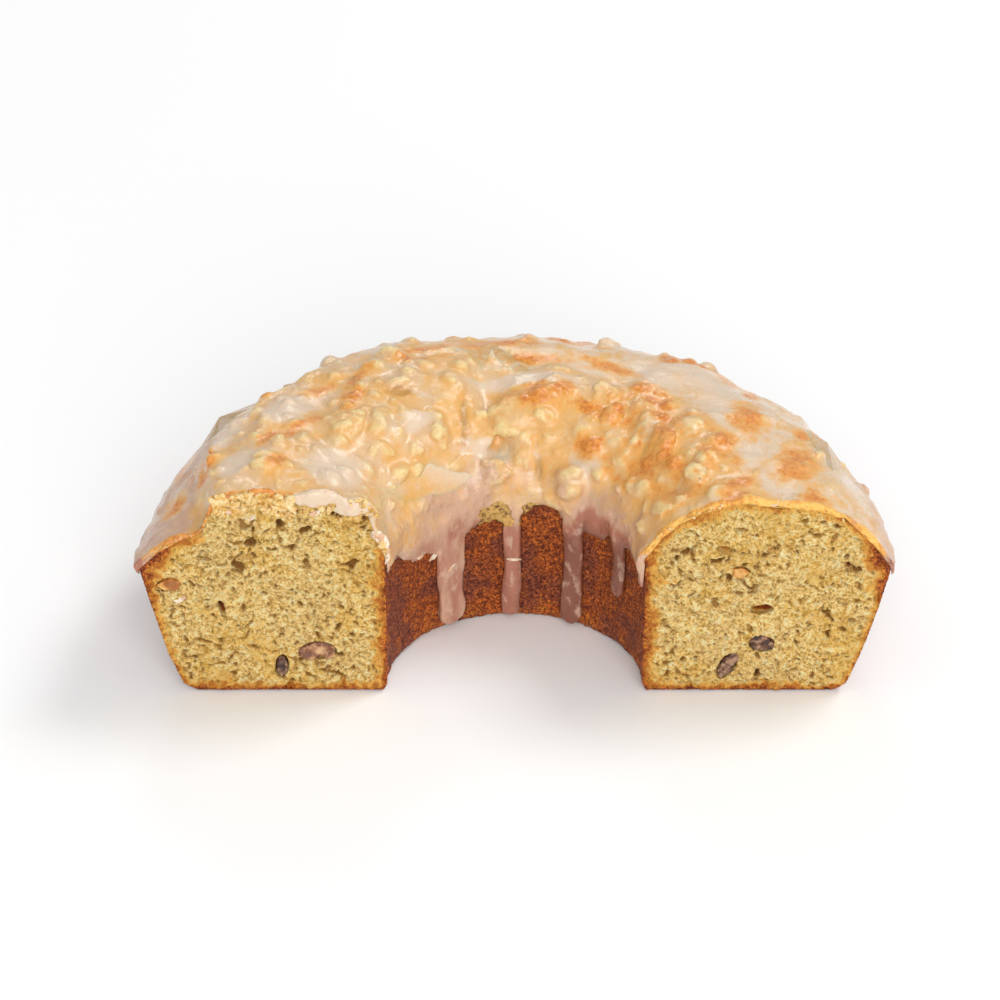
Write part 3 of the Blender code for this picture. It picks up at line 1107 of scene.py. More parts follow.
@dataclass
class Sponge:
    """The baked ring with its crust and its two torn cut faces.

    Args:
        voxel: the size that the surface is rebuilt at.
        kept_share: how much of the mesh is kept, the cut faces spared.
        face_depth: how near the cut plane a point counts as on a cut face.
        pore_stretch: how much wider than high the pores are.
        pore_depth: the depth of the large pores.
        small_pore_depth: the depth of the small pores.
        pinhole_depth: the depth of the smallest pores.
        tear: how uneven the cut faces are.
        walls: the relief of the crust.
    """

    voxel: float = 0.39 * MM
    kept_share: float = 0.17
    face_depth: float = 1.6 * MM
    pore_stretch: float = 1.25
    pore_depth: float = 1.5 * MM
    small_pore_depth: float = 0.85 * MM
    pinhole_depth: float = 0.45 * MM
    tear: float = 0.55 * MM
    walls: tuple[Relief, ...] = (
        Relief(Pattern.CLOUDS, 7 * MM, 0.7 * MM, 0.65, "walls"),
        Relief(Pattern.CLOUDS, 1.4 * MM, 0.9 * MM, 0.62, "walls", octaves=3),
        Relief(Pattern.CLOUDS, 50 * MM, 0.7 * MM, 0.0, "crown"),
    )

    def build(self) -> Piece:
        """Builds the sponge from its solid.

        Returns:
            The finished piece.
        """
        skin = self.skin_tree()
        sponge = copied_node("sponge", "baked_sponge")
        voxel = self.voxel * 1.0
        apply_modifier(sponge, "REMESH", mode="VOXEL", voxel_size=voxel)
        places = points_of(sponge)
        on_cut = places[:, 1] < CUT_Y + self.face_depth
        paint_group(sponge, "cut", on_cut.astype(float))
        behind = rise(places[:, 1], CUT_Y + 0.1 * MM, CUT_Y + 1.0 * MM)
        paint_group(sponge, "walls", behind * rise(places[:, 2], 44 * MM, 40 * MM))
        paint_group(sponge, "crown", rise(places[:, 2], 42 * MM, 46 * MM) * (places[:, 1] > CUT_Y + 0.1 * MM))
        add_relief(sponge, self.walls)
        thin_out(sponge, self.kept_share, "cut")
        pore = self.carve(sponge)
        self.brown(sponge, skin, pore)
        finish_piece(sponge, BakedCrumb().make(), ["sponge"])
        return sponge

    @staticmethod
    def skin_tree() -> BVHTree:
        """The crust of the CAD solid: its largest run of faces off the cut plane, without holes and pockets.

        Returns:
            The crust, for distances.
        """
        work = node_mesh("sponge")
        cut = {face for face in work.faces if all(abs(vert.co.y - CUT_Y) < 0.01 * MM for vert in face.verts)}
        left = set(work.faces) - cut
        skin: set[bmesh.types.BMFace] = set()
        while left:
            found = {left.pop()}
            front = list(found)
            while front:
                face = front.pop()
                beside = {other for edge in face.edges for other in edge.link_faces} & left
                left -= beside
                found |= beside
                front += beside
            skin = max(skin, found, key=len)
        bmesh.ops.delete(work, geom=[face for face in work.faces if face not in skin], context="FACES")
        return surface_tree(work)

    def carve(self, sponge: Piece) -> np.ndarray:
        """Tears the cut faces: soft unevenness, then open pores of two sizes.

        Args:
            sponge: the sponge.

        Returns:
            How deep each point lies in a pore, in millimetres.
        """
        places = points_of(sponge)
        normals = normals_of(sponge)
        pore = np.zeros(len(places))
        faces_out = (places[:, 1] < CUT_Y + self.face_depth) & (normals[:, 1] < -0.35)
        for i in np.nonzero(faces_out)[0]:
            x, _, z = places[i]
            at = Vector((x / self.pore_stretch, z, 0.2 if x > 0 else 0.7))
            at += bend(at, 3.5 * MM) * 1.7 * MM + bend(at, 1.2 * MM) * 0.45 * MM
            dense = 0.5 + 0.5 * noise.noise(at / (17 * MM))
            large = noise.noise(at / (3.2 * MM)) + 0.30 * (dense - 0.5)
            small = noise.noise(at / (1.35 * MM)) + 0.45 * (dense - 0.5)
            tiny = noise.noise(at / (0.8 * MM))
            pit = self.pore_depth * smooth(large, 0.48, 0.70)
            pit += self.small_pore_depth * smooth(small, 0.27, 0.55)
            pit += self.pinhole_depth * smooth(tiny, 0.12, 0.5)
            rough = self.tear * noise.fractal(at / (7 * MM), 0.8, 2.1, 4)
            places[i, 1] += pit + rough + 0.1 * MM
            pore[i] = pit / MM
        move_points(sponge, places)
        return pore

    @staticmethod
    def brown(sponge: Piece, skin: BVHTree, pore: np.ndarray) -> None:
        """Stores how brown each point is baked, from how deep under the crust it lies and where.

        Args:
            sponge: the sponge.
            skin: the crust of the solid.
            pore: how deep each point lies in a pore.
        """
        places = points_of(sponge)
        wall = np.ones(len(places))
        near_cut = places[:, 1] < CUT_Y + 3.0 * MM
        radii = np.hypot(places[:, 0], places[:, 1] - CUT_Y)
        deepest = np.full(len(places), 0.70)
        deepest[radii < 41 * MM] = 0.80
        low = rise(places[:, 2], 12 * MM, 1 * MM)
        shoulder = rise(radii, 88 * MM, 104 * MM) * rise(places[:, 2], 22 * MM, 40 * MM)
        deepest = np.maximum(deepest, 0.70 + 0.22 * shoulder)
        browning = deepest - 0.12 * low
        for i in np.nonzero(near_cut)[0]:
            at = Vector((places[i, 0], CUT_Y, places[i, 2]))
            nearest, _, _, gap = skin.find_nearest(at)
            thick, bake = crust_at(nearest)
            wander = noise.noise(at / (7 * MM)) * 0.9 + noise.noise(at / (1.8 * MM)) * 0.8
            depth = gap * (1.0 + 0.5 * wander) + 0.8 * MM * wander
            share = min(max(1.0 - depth / thick, 0.0), 1.0)
            face = smooth(places[i, 1], CUT_Y + 2.6 * MM, CUT_Y + 0.4 * MM)
            on_face = bake * share**1.4
            browning[i] = on_face if gap > 0.5 * MM else on_face * face + browning[i] * (1 - face)
            wall[i] = 1.0 - face
        store(sponge, "browning", browning)
        store(sponge, "pore", pore * (browning < 0.75))
        store(sponge, "wall", wall)


def crust_at(point: Vector) -> tuple[float, float]:
    """How thick the browning is at a point of the crust's outline, and how dark it gets.

    Args:
        point: the nearest point of the crust.

    Returns:
        The thickness in metres, and the darkest browning, from 0 to 1.
    """
    radius = math.hypot(point.x, point.y - CUT_Y)
    if point.z < 1.2 * MM:
        return 3.4 * MM, 0.74
    if radius < 38.5 * MM and point.z < 47 * MM:
        return 5.0 * MM, 0.68
    if point.x < 0.0 and radius < 88 * MM and point.z > 50 * MM:
        return 0.8 * MM, 0.26
    shoulder = smooth(radius, 92 * MM, 103 * MM) * smooth(point.z, 24 * MM, 40 * MM)
    shoulder *= smooth(point.z, 56 * MM, 46 * MM)
    slope = smooth(abs(radius - 72 * MM), 12 * MM, 26 * MM)
    thick = 2.6 * MM + 0.6 * MM * slope + 3.0 * MM * shoulder
    return thick, 0.30 + 0.16 * slope + 0.38 * shoulder


@dataclass
class CrumbleTop:
    """The glazed crumble over the crown, with its hem and its runs of glaze.

    Args:
        voxel: the size that the surface is rebuilt at.
        smoothing: how many times the crown is smoothed once the lumps are fused with it.
        fill_line: how far over the smoothed surface the glaze fills the dips up to.
        fill_share: how much of a dip's depth below that line is left.
        lumps: the relief of the crown, the hem and the edges at the cut.
        drifts: where the crown is strewn with nuggets.
        blocks: the largest nuggets that the photo shows.
        clefts: the clefts between blocks.
        cleft_depth: how deep they are.
        runs: the runs of glaze down the walls.
        run_top: how high above the base they start.
        run_thickness: how far they stand out of the wall.
        lobes: the lips of glaze over the left cut.
        strew_seed: the seed of the strewn nuggets.
        toast: the browned patches that the photo shows.
        pools: its pools of smooth glaze.
        bare: where crumb shows under the hem.
        kept_hidden: how much of the mesh is kept, the faces that show spared.
        kept_share: how much of what is left is kept over the whole piece.
        unseen_seed: the seed of the patches behind.
        unseen_toast: how many browned patches lie behind.
        unseen_pools: how many pools lie behind.
    """

    voxel: float = 0.60 * MM
    smoothing: int = 10
    fill_line: float = 0.04 * MM
    fill_share: float = 0.14
    lumps: tuple[Relief, ...] = (
        Relief(Pattern.CLOUDS, 17 * MM, 2.6 * MM, group="top"),
        Relief(Pattern.CLOUDS, 7.5 * MM, 3.0 * MM, group="crumble", octaves=3),
        Relief(Pattern.CELLS, 8.0 * MM, -1.8 * MM, 0.42, group="crumble"),
        Relief(Pattern.CELLS, 3.4 * MM, -0.45 * MM, 0.42, group="crumble"),
        Relief(Pattern.CLOUDS, 50 * MM, -0.45 * MM, 0.0, "hem"),
        Relief(Pattern.CLOUDS, 2.2 * MM, 1.4 * MM, 0.45, "front", Direction.BACKWARDS),
        Relief(Pattern.CLOUDS, 7.0 * MM, 2.2 * MM, 0.42, "front", Direction.BACKWARDS),
    )
    drifts: tuple[Drift, ...] = (
        Drift((18, 66), (-0.66, -0.12), 20, (3.0 * MM, 7.0 * MM)),
        Drift((22, 70), (-0.95, -0.60), 12, (2.6 * MM, 5.5 * MM)),
        Drift((64, 100), (-0.85, -0.35), 8, (3.4 * MM, 7.0 * MM)),
        Drift((100, 150), (-0.80, -0.10), 12, (3.4 * MM, 8.0 * MM)),
        Drift((100, 172), (-0.10, 0.45), 7, (3.4 * MM, 7.0 * MM)),
        Drift((3, 40), (0.62, 0.90), 12, (1.8 * MM, 3.8 * MM)),
        Drift((40, 100), (0.30, 0.70), 8, (2.6 * MM, 5.5 * MM)),
        Drift((5, 175), (0.60, 0.92), 22, (2.0 * MM, 4.6 * MM)),
    )
    blocks: tuple[Spot, ...] = spots(
        (144.0, -0.36, 6.4, 4.6, -8), (139.5, -0.30, 3.4, 3.0), (132.5, -0.44, 3.6, 3.2),
        (127.0, -0.50, 3.0, 3.0), (120.2, -0.72, 3.4, 4.2), (113.0, -0.92, 4.6, 2.8),
        (135.0, -0.88, 3.0, 2.6), (90.0, -0.60, 7.5, 7.0), (84.8, -0.66, 3.4, 3.2),
        (99.5, -0.95, 3.6, 2.6), (65.8, -0.96, 5.2, 3.6), (60.0, -0.76, 4.0, 3.4),
        (64.0, -0.30, 3.4, 4.6), (58.0, -0.51, 3.2, 4.4), (47.8, -0.80, 3.4, 3.0),
        (38.0, -0.52, 4.8, 3.6, 20), (36.0, -0.36, 4.0, 3.4), (28.0, -0.58, 3.8, 3.2),
        (28.8, -0.85, 3.4, 2.8), (15.8, -0.54, 4.0, 3.4), (13.5, -0.85, 4.4, 3.4),
        (73.0, 0.60, 2.4, 2.4), (88.5, 0.58, 2.4, 2.0),
    )
    clefts: tuple[Spot, ...] = spots(
        (107.0, -0.64, 1.3, 9.0, 17), (56.0, -0.34, 1.2, 6.0, -10), (128.2, 0.17, 2.4, 1.4, 20),
        (111.2, 0.16, 1.8, 1.2), (80.0, -0.92, 1.2, 3.6, -20), (42.0, -0.60, 1.2, 5.0, -25),
        (122.0, -0.30, 5.0, 1.2, 30),
    )
    cleft_depth: float = 0.75 * MM
    runs: tuple[Run, ...] = (
        Run(91.3, 1.4 * MM, 4.9 * MM),
        Run(61.8, 2.0 * MM, 6.6 * MM),
        Run(121.0, 2.2 * MM, 8.6 * MM),
        Run(33.0, 20.0 * MM, 4.6 * MM),
        Run(18.0, 17.0 * MM, 5.2 * MM, outside=True),
        Run(47.0, 25.0 * MM, 4.6 * MM, outside=True),
        Run(79.0, 10.0 * MM, 5.4 * MM, outside=True),
        Run(104.0, 23.0 * MM, 4.6 * MM, outside=True),
        Run(131.0, 15.0 * MM, 5.2 * MM, outside=True),
        Run(161.0, 26.0 * MM, 4.8 * MM, outside=True),
    )
    run_top: float = 41.0 * MM
    run_thickness: float = 0.85 * MM
    lobes: tuple[Lobe, ...] = (
        Lobe(-55.5 * MM, 66.6 * MM, 7.5 * MM, 3.0 * MM),
        Lobe(-46.5 * MM, 63.8 * MM, 6.0 * MM, 2.8 * MM),
        Lobe(-71.0 * MM, 69.0 * MM, 4.0 * MM, 1.6 * MM),
    )
    strew_seed: int = 41
    toast: tuple[Spot, ...] = spots(
        (80.8, -0.45, 10, 5.0, -14), (85.0, -0.52, 5, 4.0, 10), (65.5, -0.50, 6.5, 3.5, 18),
        (86.5, 0.06, 14, 3.2, 2), (68.2, 0.12, 9, 2.6, 10), (52.5, -0.17, 11, 4.0, 24),
        (44.0, -0.36, 8, 3.2, 20), (57.0, -0.42, 7, 3.6, 24), (36.0, -0.52, 7, 3.4, 24),
        (29.0, -0.62, 6, 3.4, 10), (31.8, 0.18, 8.5, 5.2, 30), (25.5, -0.19, 8, 4.4, 38),
        (14.0, 0.28, 9, 5.2, 42), (8.0, -0.24, 6, 3.2, 40), (2.5, 0.34, 6, 4.0),
        (2.0, -0.30, 5, 4.0), (24.0, 0.52, 4, 2.2, 30), (135.2, 0.23, 5, 2.4, 20),
        (133.2, -0.11, 5.5, 3.4, -30), (127.5, 0.10, 7, 2.6, -24), (150.0, -0.05, 7, 2.6, 12),
        (157.0, 0.10, 6, 2.4, 8), (168.0, -0.10, 5, 2.6), (108.0, 0.30, 8, 2.4, -6),
        (94.0, 0.36, 15, 4.0), (112.0, 0.14, 9, 3.0, 10), (60.0, -0.80, 4, 3.0),
        (38.0, -0.75, 4.5, 4.0),
    )
    pools: tuple[Spot, ...] = spots(
        (163.0, -0.54, 11, 8.0), (145.2, 0.22, 10, 7.0), (169.0, 0.24, 7, 5.0),
        (87.5, -0.25, 16, 3.4), (75.0, 0.02, 9, 3.2, 10), (47.8, 0.40, 24, 7.0, 8),
        (58.0, 0.16, 12, 4.4, 20), (36.0, 0.08, 11, 4.6, 24), (21.5, -0.02, 12, 4.6, 30),
        (9.2, 0.07, 8, 5.0, 20), (60.0, -0.86, 5, 3.4), (100.0, -0.86, 6, 3.0),
        (124.0, -0.62, 5, 3.0),
    )
    bare: tuple[Spot, ...] = spots(
        (99.0, -1.02, 5.0, 3.5), (82.0, -1.02, 3.4, 2.4),
    )
    kept_hidden: float = 0.44
    kept_share: float = 0.79
    unseen_seed: int = 23
    unseen_toast: int = 26
    unseen_pools: int = 16

    def build(self) -> Piece:
        """Builds the icing from its solid.

        Returns:
            The finished piece.
        """
        icing = copied_node("crumble_icing", "glazed_crumble_top")
        self.strew(icing)
        self.hang(icing)
        voxel = self.voxel * 1.0
        apply_modifier(icing, "REMESH", mode="VOXEL", voxel_size=voxel)
        under = self.underside(icing)
        places = points_of(icing)
        top = (1.0 - under) * rise(places[:, 1], CUT_Y, CUT_Y + 0.5 * MM)
        paint_group(icing, "top", top)
        paint_group(icing, "runs", rise(places[:, 2], 35 * MM, 31 * MM) * (places[:, 1] > CUT_Y + 1 * MM))
        paint_group(icing, "front", (1.0 - under) * (places[:, 1] < CUT_Y + 0.3 * MM))
        outer = np.hypot(places[:, 0], places[:, 1] - CUT_Y) > 80 * MM
        skirt = rise(places[:, 2], 49 * MM, 44 * MM) * rise(places[:, 2], 36 * MM, 40 * MM)
        paint_group(icing, "hem", (1.0 - under) * outer * skirt)
        apply_modifier(icing, "SMOOTH", factor=0.5, iterations=self.smoothing, vertex_group="top")
        self.round_runs(icing)
        paint_group(icing, "crumble", top * self.crumbliness(points_of(icing)))
        add_relief(icing, self.lumps)
        self.fill_dips(icing, top)
        self.cut_clefts(icing, top)
        paint_group(icing, "seen", 1.0 - under)
        thin_out(icing, self.kept_hidden, "seen")
        apply_modifier(icing, "DECIMATE", ratio=self.kept_share)
        self.mark(icing)
        finish_piece(icing, GlazedCrumble().make(), ["crumble_icing"])
        return icing

    def strew(self, icing: Piece) -> None:
        """Sets blocks and clusters of crumble into the crown, to be fused with it.

        Args:
            icing: the icing.
        """
        draw = random.Random(self.strew_seed)
        ground = surface_of(icing)
        patterns = [nugget_pattern(variant) for variant in range(4)]
        stands = list(self.blocks)
        for drift in self.drifts:
            for _ in range(drift.count):
                stands += self.cluster(draw, drift)
        nuggets = []
        for spot in stands:
            angle = math.radians(spot.angle)
            radius = MIDDLE_RADIUS + HALF_WIDTH * spot.across
            above = Vector((radius * math.cos(angle), CUT_Y + radius * math.sin(angle), HIGH))
            hit, normal, _, _ = ground.ray_cast(above, DOWN)
            if hit is None or hit.y < CUT_Y + 1.4 * spot.length:
                continue
            along = Vector((-math.sin(angle), math.cos(angle), 0.0))
            side = normal.cross(along).normalized()
            lean = Matrix((side.cross(normal), side, normal)).transposed().to_4x4()
            turn = Matrix.Rotation(-math.radians(spot.turn), 4, "Z")
            low = min(spot.length, spot.width, 4.4 * MM)
            stretch = Matrix.Diagonal((2 * spot.length, 2 * spot.width, 1.2 * low, 1.0))
            place = Matrix.Translation(hit + normal * low * 0.04)
            nuggets.append(placed_copy(draw.choice(patterns), place @ lean @ turn @ stretch))
        join_pieces(icing, nuggets, patterns)

    @staticmethod
    def cluster(draw: random.Random, drift: Drift) -> list[Spot]:
        """A nugget somewhere in a drift, with up to three smaller ones against it.

        Args:
            draw: the source of chance.
            drift: the drift.

        Returns:
            Where the nuggets stand.
        """
        angle, across = draw.uniform(*drift.angles), draw.uniform(*drift.across)
        size = drift.sizes[0] + (drift.sizes[1] - drift.sizes[0]) * draw.random() ** 1.6
        stands = [Spot(angle, across, size * draw.uniform(0.45, 0.7), size * 0.5, draw.uniform(0, 180))]
        radius = MIDDLE_RADIUS + HALF_WIDTH * across
        for _ in range(draw.choice((0, 1, 2, 3))):
            way = draw.uniform(0, math.tau)
            gap = size * draw.uniform(0.45, 0.8)
            small = size * draw.uniform(0.2, 0.38)
            beside = angle + math.degrees(gap * math.cos(way) / radius)
            stands.append(Spot(beside, across + gap * math.sin(way) / HALF_WIDTH, small, small * 0.9))
        return stands

    def hang(self, icing: Piece) -> None:
        """Hangs the runs of glaze on the walls and its lips over the cut, to be fused with the icing.

        Args:
            icing: the icing.
        """
        wall = surface_tree(node_mesh("sponge"))
        strips = [self.run_strip(run, wall) for run in self.runs]
        for lobe in self.lobes:
            bpy.ops.mesh.primitive_uv_sphere_add(segments=24, ring_count=16, radius=1.0)
            lip = bpy.context.object
            size = Matrix.Diagonal((lobe.length, 1.3 * MM, lobe.height, 1.0))
            lip.data.transform(Matrix.Translation((lobe.x, CUT_Y + 0.2 * MM, lobe.z)) @ size)
            strips.append(lip)
        join_pieces(icing, strips)

    def run_strip(self, run: Run, wall: BVHTree) -> Piece:
        """One run of glaze, rounded at its lower end, laid on the wall.

        Args:
            run: the run.
            wall: the surface of the sponge.

        Returns:
            The run as a closed solid.
        """
        bpy.ops.mesh.primitive_grid_add(x_subdivisions=10, y_subdivisions=30, size=2.0)
        strip = bpy.context.object
        places = points_of(strip)
        for i, (u, v, _) in enumerate(places.copy()):
            height = run.bottom + (self.run_top - run.bottom) * (v + 1) / 2
            end = min((height - run.bottom) / (0.5 * run.width), 1.0)
            round_end = math.sqrt(max(1.0 - (1.0 - end) ** 2, 0.0))
            wobble = noise.noise(Vector((run.angle, height / (9 * MM), 0.0)))
            spread = 0.5 * run.width * (0.12 + 0.88 * round_end) * (1.0 + 0.14 * wobble)
            shift = 0.5 * MM * noise.noise(Vector((run.angle, height / (14 * MM), 5.0)))
            reach = OUTER_RADIUS if run.outside else HOLE_RADIUS
            angle = math.radians(run.angle) + (u * spread + shift) / reach
            way = Vector((math.cos(angle), math.sin(angle), 0.0))
            start = Vector((0.0, CUT_Y, height)) + way * (2 * OUTER_RADIUS if run.outside else 0.0)
            look = -way if run.outside else way
            hit, _, _, _ = wall.ray_cast(start, look)
            bead = 1.0 + 0.35 * smooth(height, run.bottom + 4 * MM, run.bottom + 1 * MM)
            thick = self.run_thickness * bead * math.sqrt(1.0 - 0.85 * u * u)
            places[i] = (hit or start) - look * thick
        move_points(strip, places)
        apply_modifier(strip, "SOLIDIFY", thickness=2.2 * MM, offset=0.0)
        return strip

    @staticmethod
    def underside(icing: Piece) -> np.ndarray:
        """Finds the points that lie against the sponge.

        Args:
            icing: the icing.

        Returns:
            1 for each of them, 0 for each point that shows.
        """
        tree = surface_tree(node_mesh("sponge"))
        places = points_of(icing)
        normals = normals_of(icing)
        under = np.zeros(len(places))
        for i, place in enumerate(places):
            nearest, _, _, gap = tree.find_nearest(Vector(place), 1.0 * MM)
            if nearest is not None and (Vector(place) - nearest).dot(Vector(normals[i])) < 0.0:
                under[i] = 1.0
        return under

    @staticmethod
    def round_runs(icing: Piece) -> None:
        """Rounds the outlines of the hanging runs, and keeps their thickness.

        Args:
            icing: the icing.
        """
        _, _, before = ring_places(points_of(icing))
        apply_modifier(icing, "SMOOTH", factor=0.5, iterations=8, vertex_group="runs")
        places = points_of(icing)
        _, _, after = ring_places(places)
        places[:, 0] *= before / after
        places[:, 1] = CUT_Y + (places[:, 1] - CUT_Y) * before / after
        move_points(icing, places)

    def crumbliness(self, places: np.ndarray) -> np.ndarray:
        """How lumpy the crumble is.

        Args:
            places: the points.

        Returns:
            A number for each point, from 0 for plain glaze to 1.
        """
        angle, across, _ = ring_places(places)
        left = rise(angle, 90, 100) * rise(across, 0.72, 0.50)
        hole = rise(across, 0.14, -0.12)
        lumpy = np.maximum(np.maximum(left, hole), 0.3) * rise(places[:, 2], 33 * MM, 40 * MM)
        broken = 0.72 + 0.7 * noise_values(places, 14 * MM, 3.0)
        return np.clip(lumpy * broken, 0.0, 1.0) * (1.0 - 0.9 * spot_cover(self.pools, places))

    def fill_dips(self, icing: Piece, top: np.ndarray) -> None:
        """Lets the glaze fill the dips between the lumps.

        Args:
            icing: the icing.
            top: how far each point belongs to the surface that shows.
        """
        smoothed = icing.copy()
        smoothed.data = icing.data.copy()
        bpy.context.scene.collection.objects.link(smoothed)
        apply_modifier(smoothed, "SMOOTH", factor=0.5, iterations=70)
        level, out = points_of(smoothed), normals_of(smoothed)
        bpy.data.objects.remove(smoothed)
        places = points_of(icing)
        height = np.einsum("ij,ij->i", places - level, out)
        below = height - self.fill_line
        filled = np.where(below < 0.0, self.fill_line + self.fill_share * below, height)
        move_points(icing, places + out * ((filled - height) * top)[:, None])
        store(icing, "relief", filled / MM)

    def cut_clefts(self, icing: Piece, top: np.ndarray) -> None:
        """Presses the narrow clefts between the blocks of crumble into the crown, and stores where the finish
        paints shade in them.

        Args:
            icing: the icing.
            top: how far each point belongs to the surface that shows.
        """
        places = points_of(icing)
        cleft = spot_cover(self.clefts, places, 0.9) * top * (0.8 + 0.5 * noise_values(places, 4 * MM, 9.0))
        move_points(icing, places - normals_of(icing) * (self.cleft_depth * cleft)[:, None])
        store(icing, "relief", read(icing, "relief") - 0.9 * cleft)
        # Stored for the painted shade of the clefts.
        store(icing, "cleft", cleft)

    def mark(self, icing: Piece) -> None:
        """Stores where the glaze is browned, pooled, thin or missing, and where painted shade darkens the
        dips of the right inner slope and its rim above the hem.

        Args:
            icing: the icing.
        """
        relief = read(icing, "relief")
        places = points_of(icing)
        angle, across, radius = ring_places(places)
        height = places[:, 2]
        lip = rise(places[:, 1], CUT_Y + 2.0 * MM, CUT_Y + 0.6 * MM)
        lip *= rise(np.abs(places[:, 0] + 51.5 * MM), 15 * MM, 10 * MM)
        store(icing, "relief", relief * (1.0 - lip) - 0.1 * lip)
        draw = random.Random(self.unseen_seed)
        toast = list(self.toast)
        for _ in range(self.unseen_toast):
            toast.append(self.unseen_spot(draw, 5.5 * MM, 3.0 * MM))
        pools = list(self.pools)
        for _ in range(self.unseen_pools):
            pools.append(self.unseen_spot(draw, 11 * MM, 3.6 * MM))
        near = rise(places[:, 1], CUT_Y + 3.4 * MM, CUT_Y + 0.4 * MM)
        rim = near * (places[:, 0] > 0) * rise(across, 1.05, 0.85) * rise(height, 44 * MM, 50 * MM)
        store(icing, "rim", rim)
        left_rim = near * (places[:, 0] < 0) * (across > -0.3) * rise(height, 44 * MM, 50 * MM)
        toasted = spot_cover(toast, places, 0.95) * rise(height, 46 * MM, 52 * MM)
        # Painted shade: the dips of the right inner slope are browned like toast.
        right_slope_dip_shade = rise(angle, 68, 58) * rise(angle, 2, 8) * rise(across, 0.02, -0.16) * rise(across, -1.0, -0.85)
        toasted = np.maximum(toasted, right_slope_dip_shade * rise(relief, 0.5, -0.1) * 0.62)
        store(icing, "toast", np.maximum(toasted, left_rim * 0.8))
        store(icing, "pool", np.maximum(spot_cover(pools, places, 0.9), lip))
        left_slope = rise(angle, 148, 158) * rise(across, 0.42, 0.62) * 0.62
        outside = np.maximum(left_slope, rise(across, 0.62, 1.0) * 0.55)
        bared = rise(angle, 96, 108) * rise(angle, 146, 134)
        bared = np.maximum(bared, rise(angle, 62, 50) * rise(angle, 14, 24))
        inside = rise(across, -0.88, -1.04) * 0.36 + bared * rise(across, -0.66, -0.98) * 0.20
        # Painted shade: a darker thin-glaze tint on the right inner slope just above the hem.
        inside += rise(angle, 66, 56) * rise(angle, 18, 28) * rise(height, 48 * MM, 40 * MM) * 0.55
        low = rise(height, 42 * MM, 33 * MM) * 0.38 + near * rise(height, 50 * MM, 44 * MM) * 0.35
        veil = np.interp(angle, (70, 84, 100, 114), (1.40, 1.12, 1.10, 0.86))
        hanging = rise(height, 38 * MM, 28 * MM)
        thin = (np.maximum(outside, inside) + low) * (1.0 - hanging) + veil * hanging
        store(icing, "thin", np.clip(thin, 0.0, 1.5))
        store(icing, "lumpy", self.crumbliness(places))
        band = rise(height, 31 * MM, 35 * MM) * rise(height, 44 * MM, 39 * MM)
        store(icing, "bare", spot_cover(self.bare, places, 0.8) * band)

    @staticmethod
    def unseen_spot(draw: random.Random, length: float, width: float) -> Spot:
        """A patch somewhere on the outer half of the crown.

        Args:
            draw: the source of chance.
            length: half its usual size along the ring.
            width: half its usual size across the crown.

        Returns:
            The patch.
        """
        return Spot(
            draw.uniform(8, 172),
            draw.uniform(0.48, 0.86),
            length * draw.uniform(0.6, 1.2),
            width * draw.uniform(0.6, 1.2),
            draw.uniform(-25, 25),
        )


@dataclass
class Walnuts:
    """The pieces of walnut in the cut faces.

    Args:
        voxel: the size that their surface is rebuilt at.
        tones: how each of them looks, in the order of their numbers.
        relief: their wrinkles.
    """

    voxel: float = 0.32 * MM
    tones: tuple[NutTone, ...] = (
        NutTone.PALE, NutTone.DARK, NutTone.TOASTED, NutTone.DARK, NutTone.DARK, NutTone.TOASTED
    )
    relief: tuple[Relief, ...] = (
        Relief(Pattern.CLOUDS, 3.8 * MM, 3.2 * MM),
        Relief(Pattern.CLOUDS, 1.4 * MM, 1.0 * MM),
    )

    def build(self) -> None:
        """Builds one wrinkled piece for each nut."""
        finishes = {tone: WalnutFlesh(tone).make() for tone in NutTone}
        for number, tone in enumerate(self.tones, 1):
            nut = copied_node(f"walnut_{number}", f"nut_{number}")
            apply_modifier(nut, "REMESH", mode="VOXEL", voxel_size=self.voxel)
            add_relief(nut, self.relief)
            finish_piece(nut, finishes[tone], [f"walnut_{number}"])


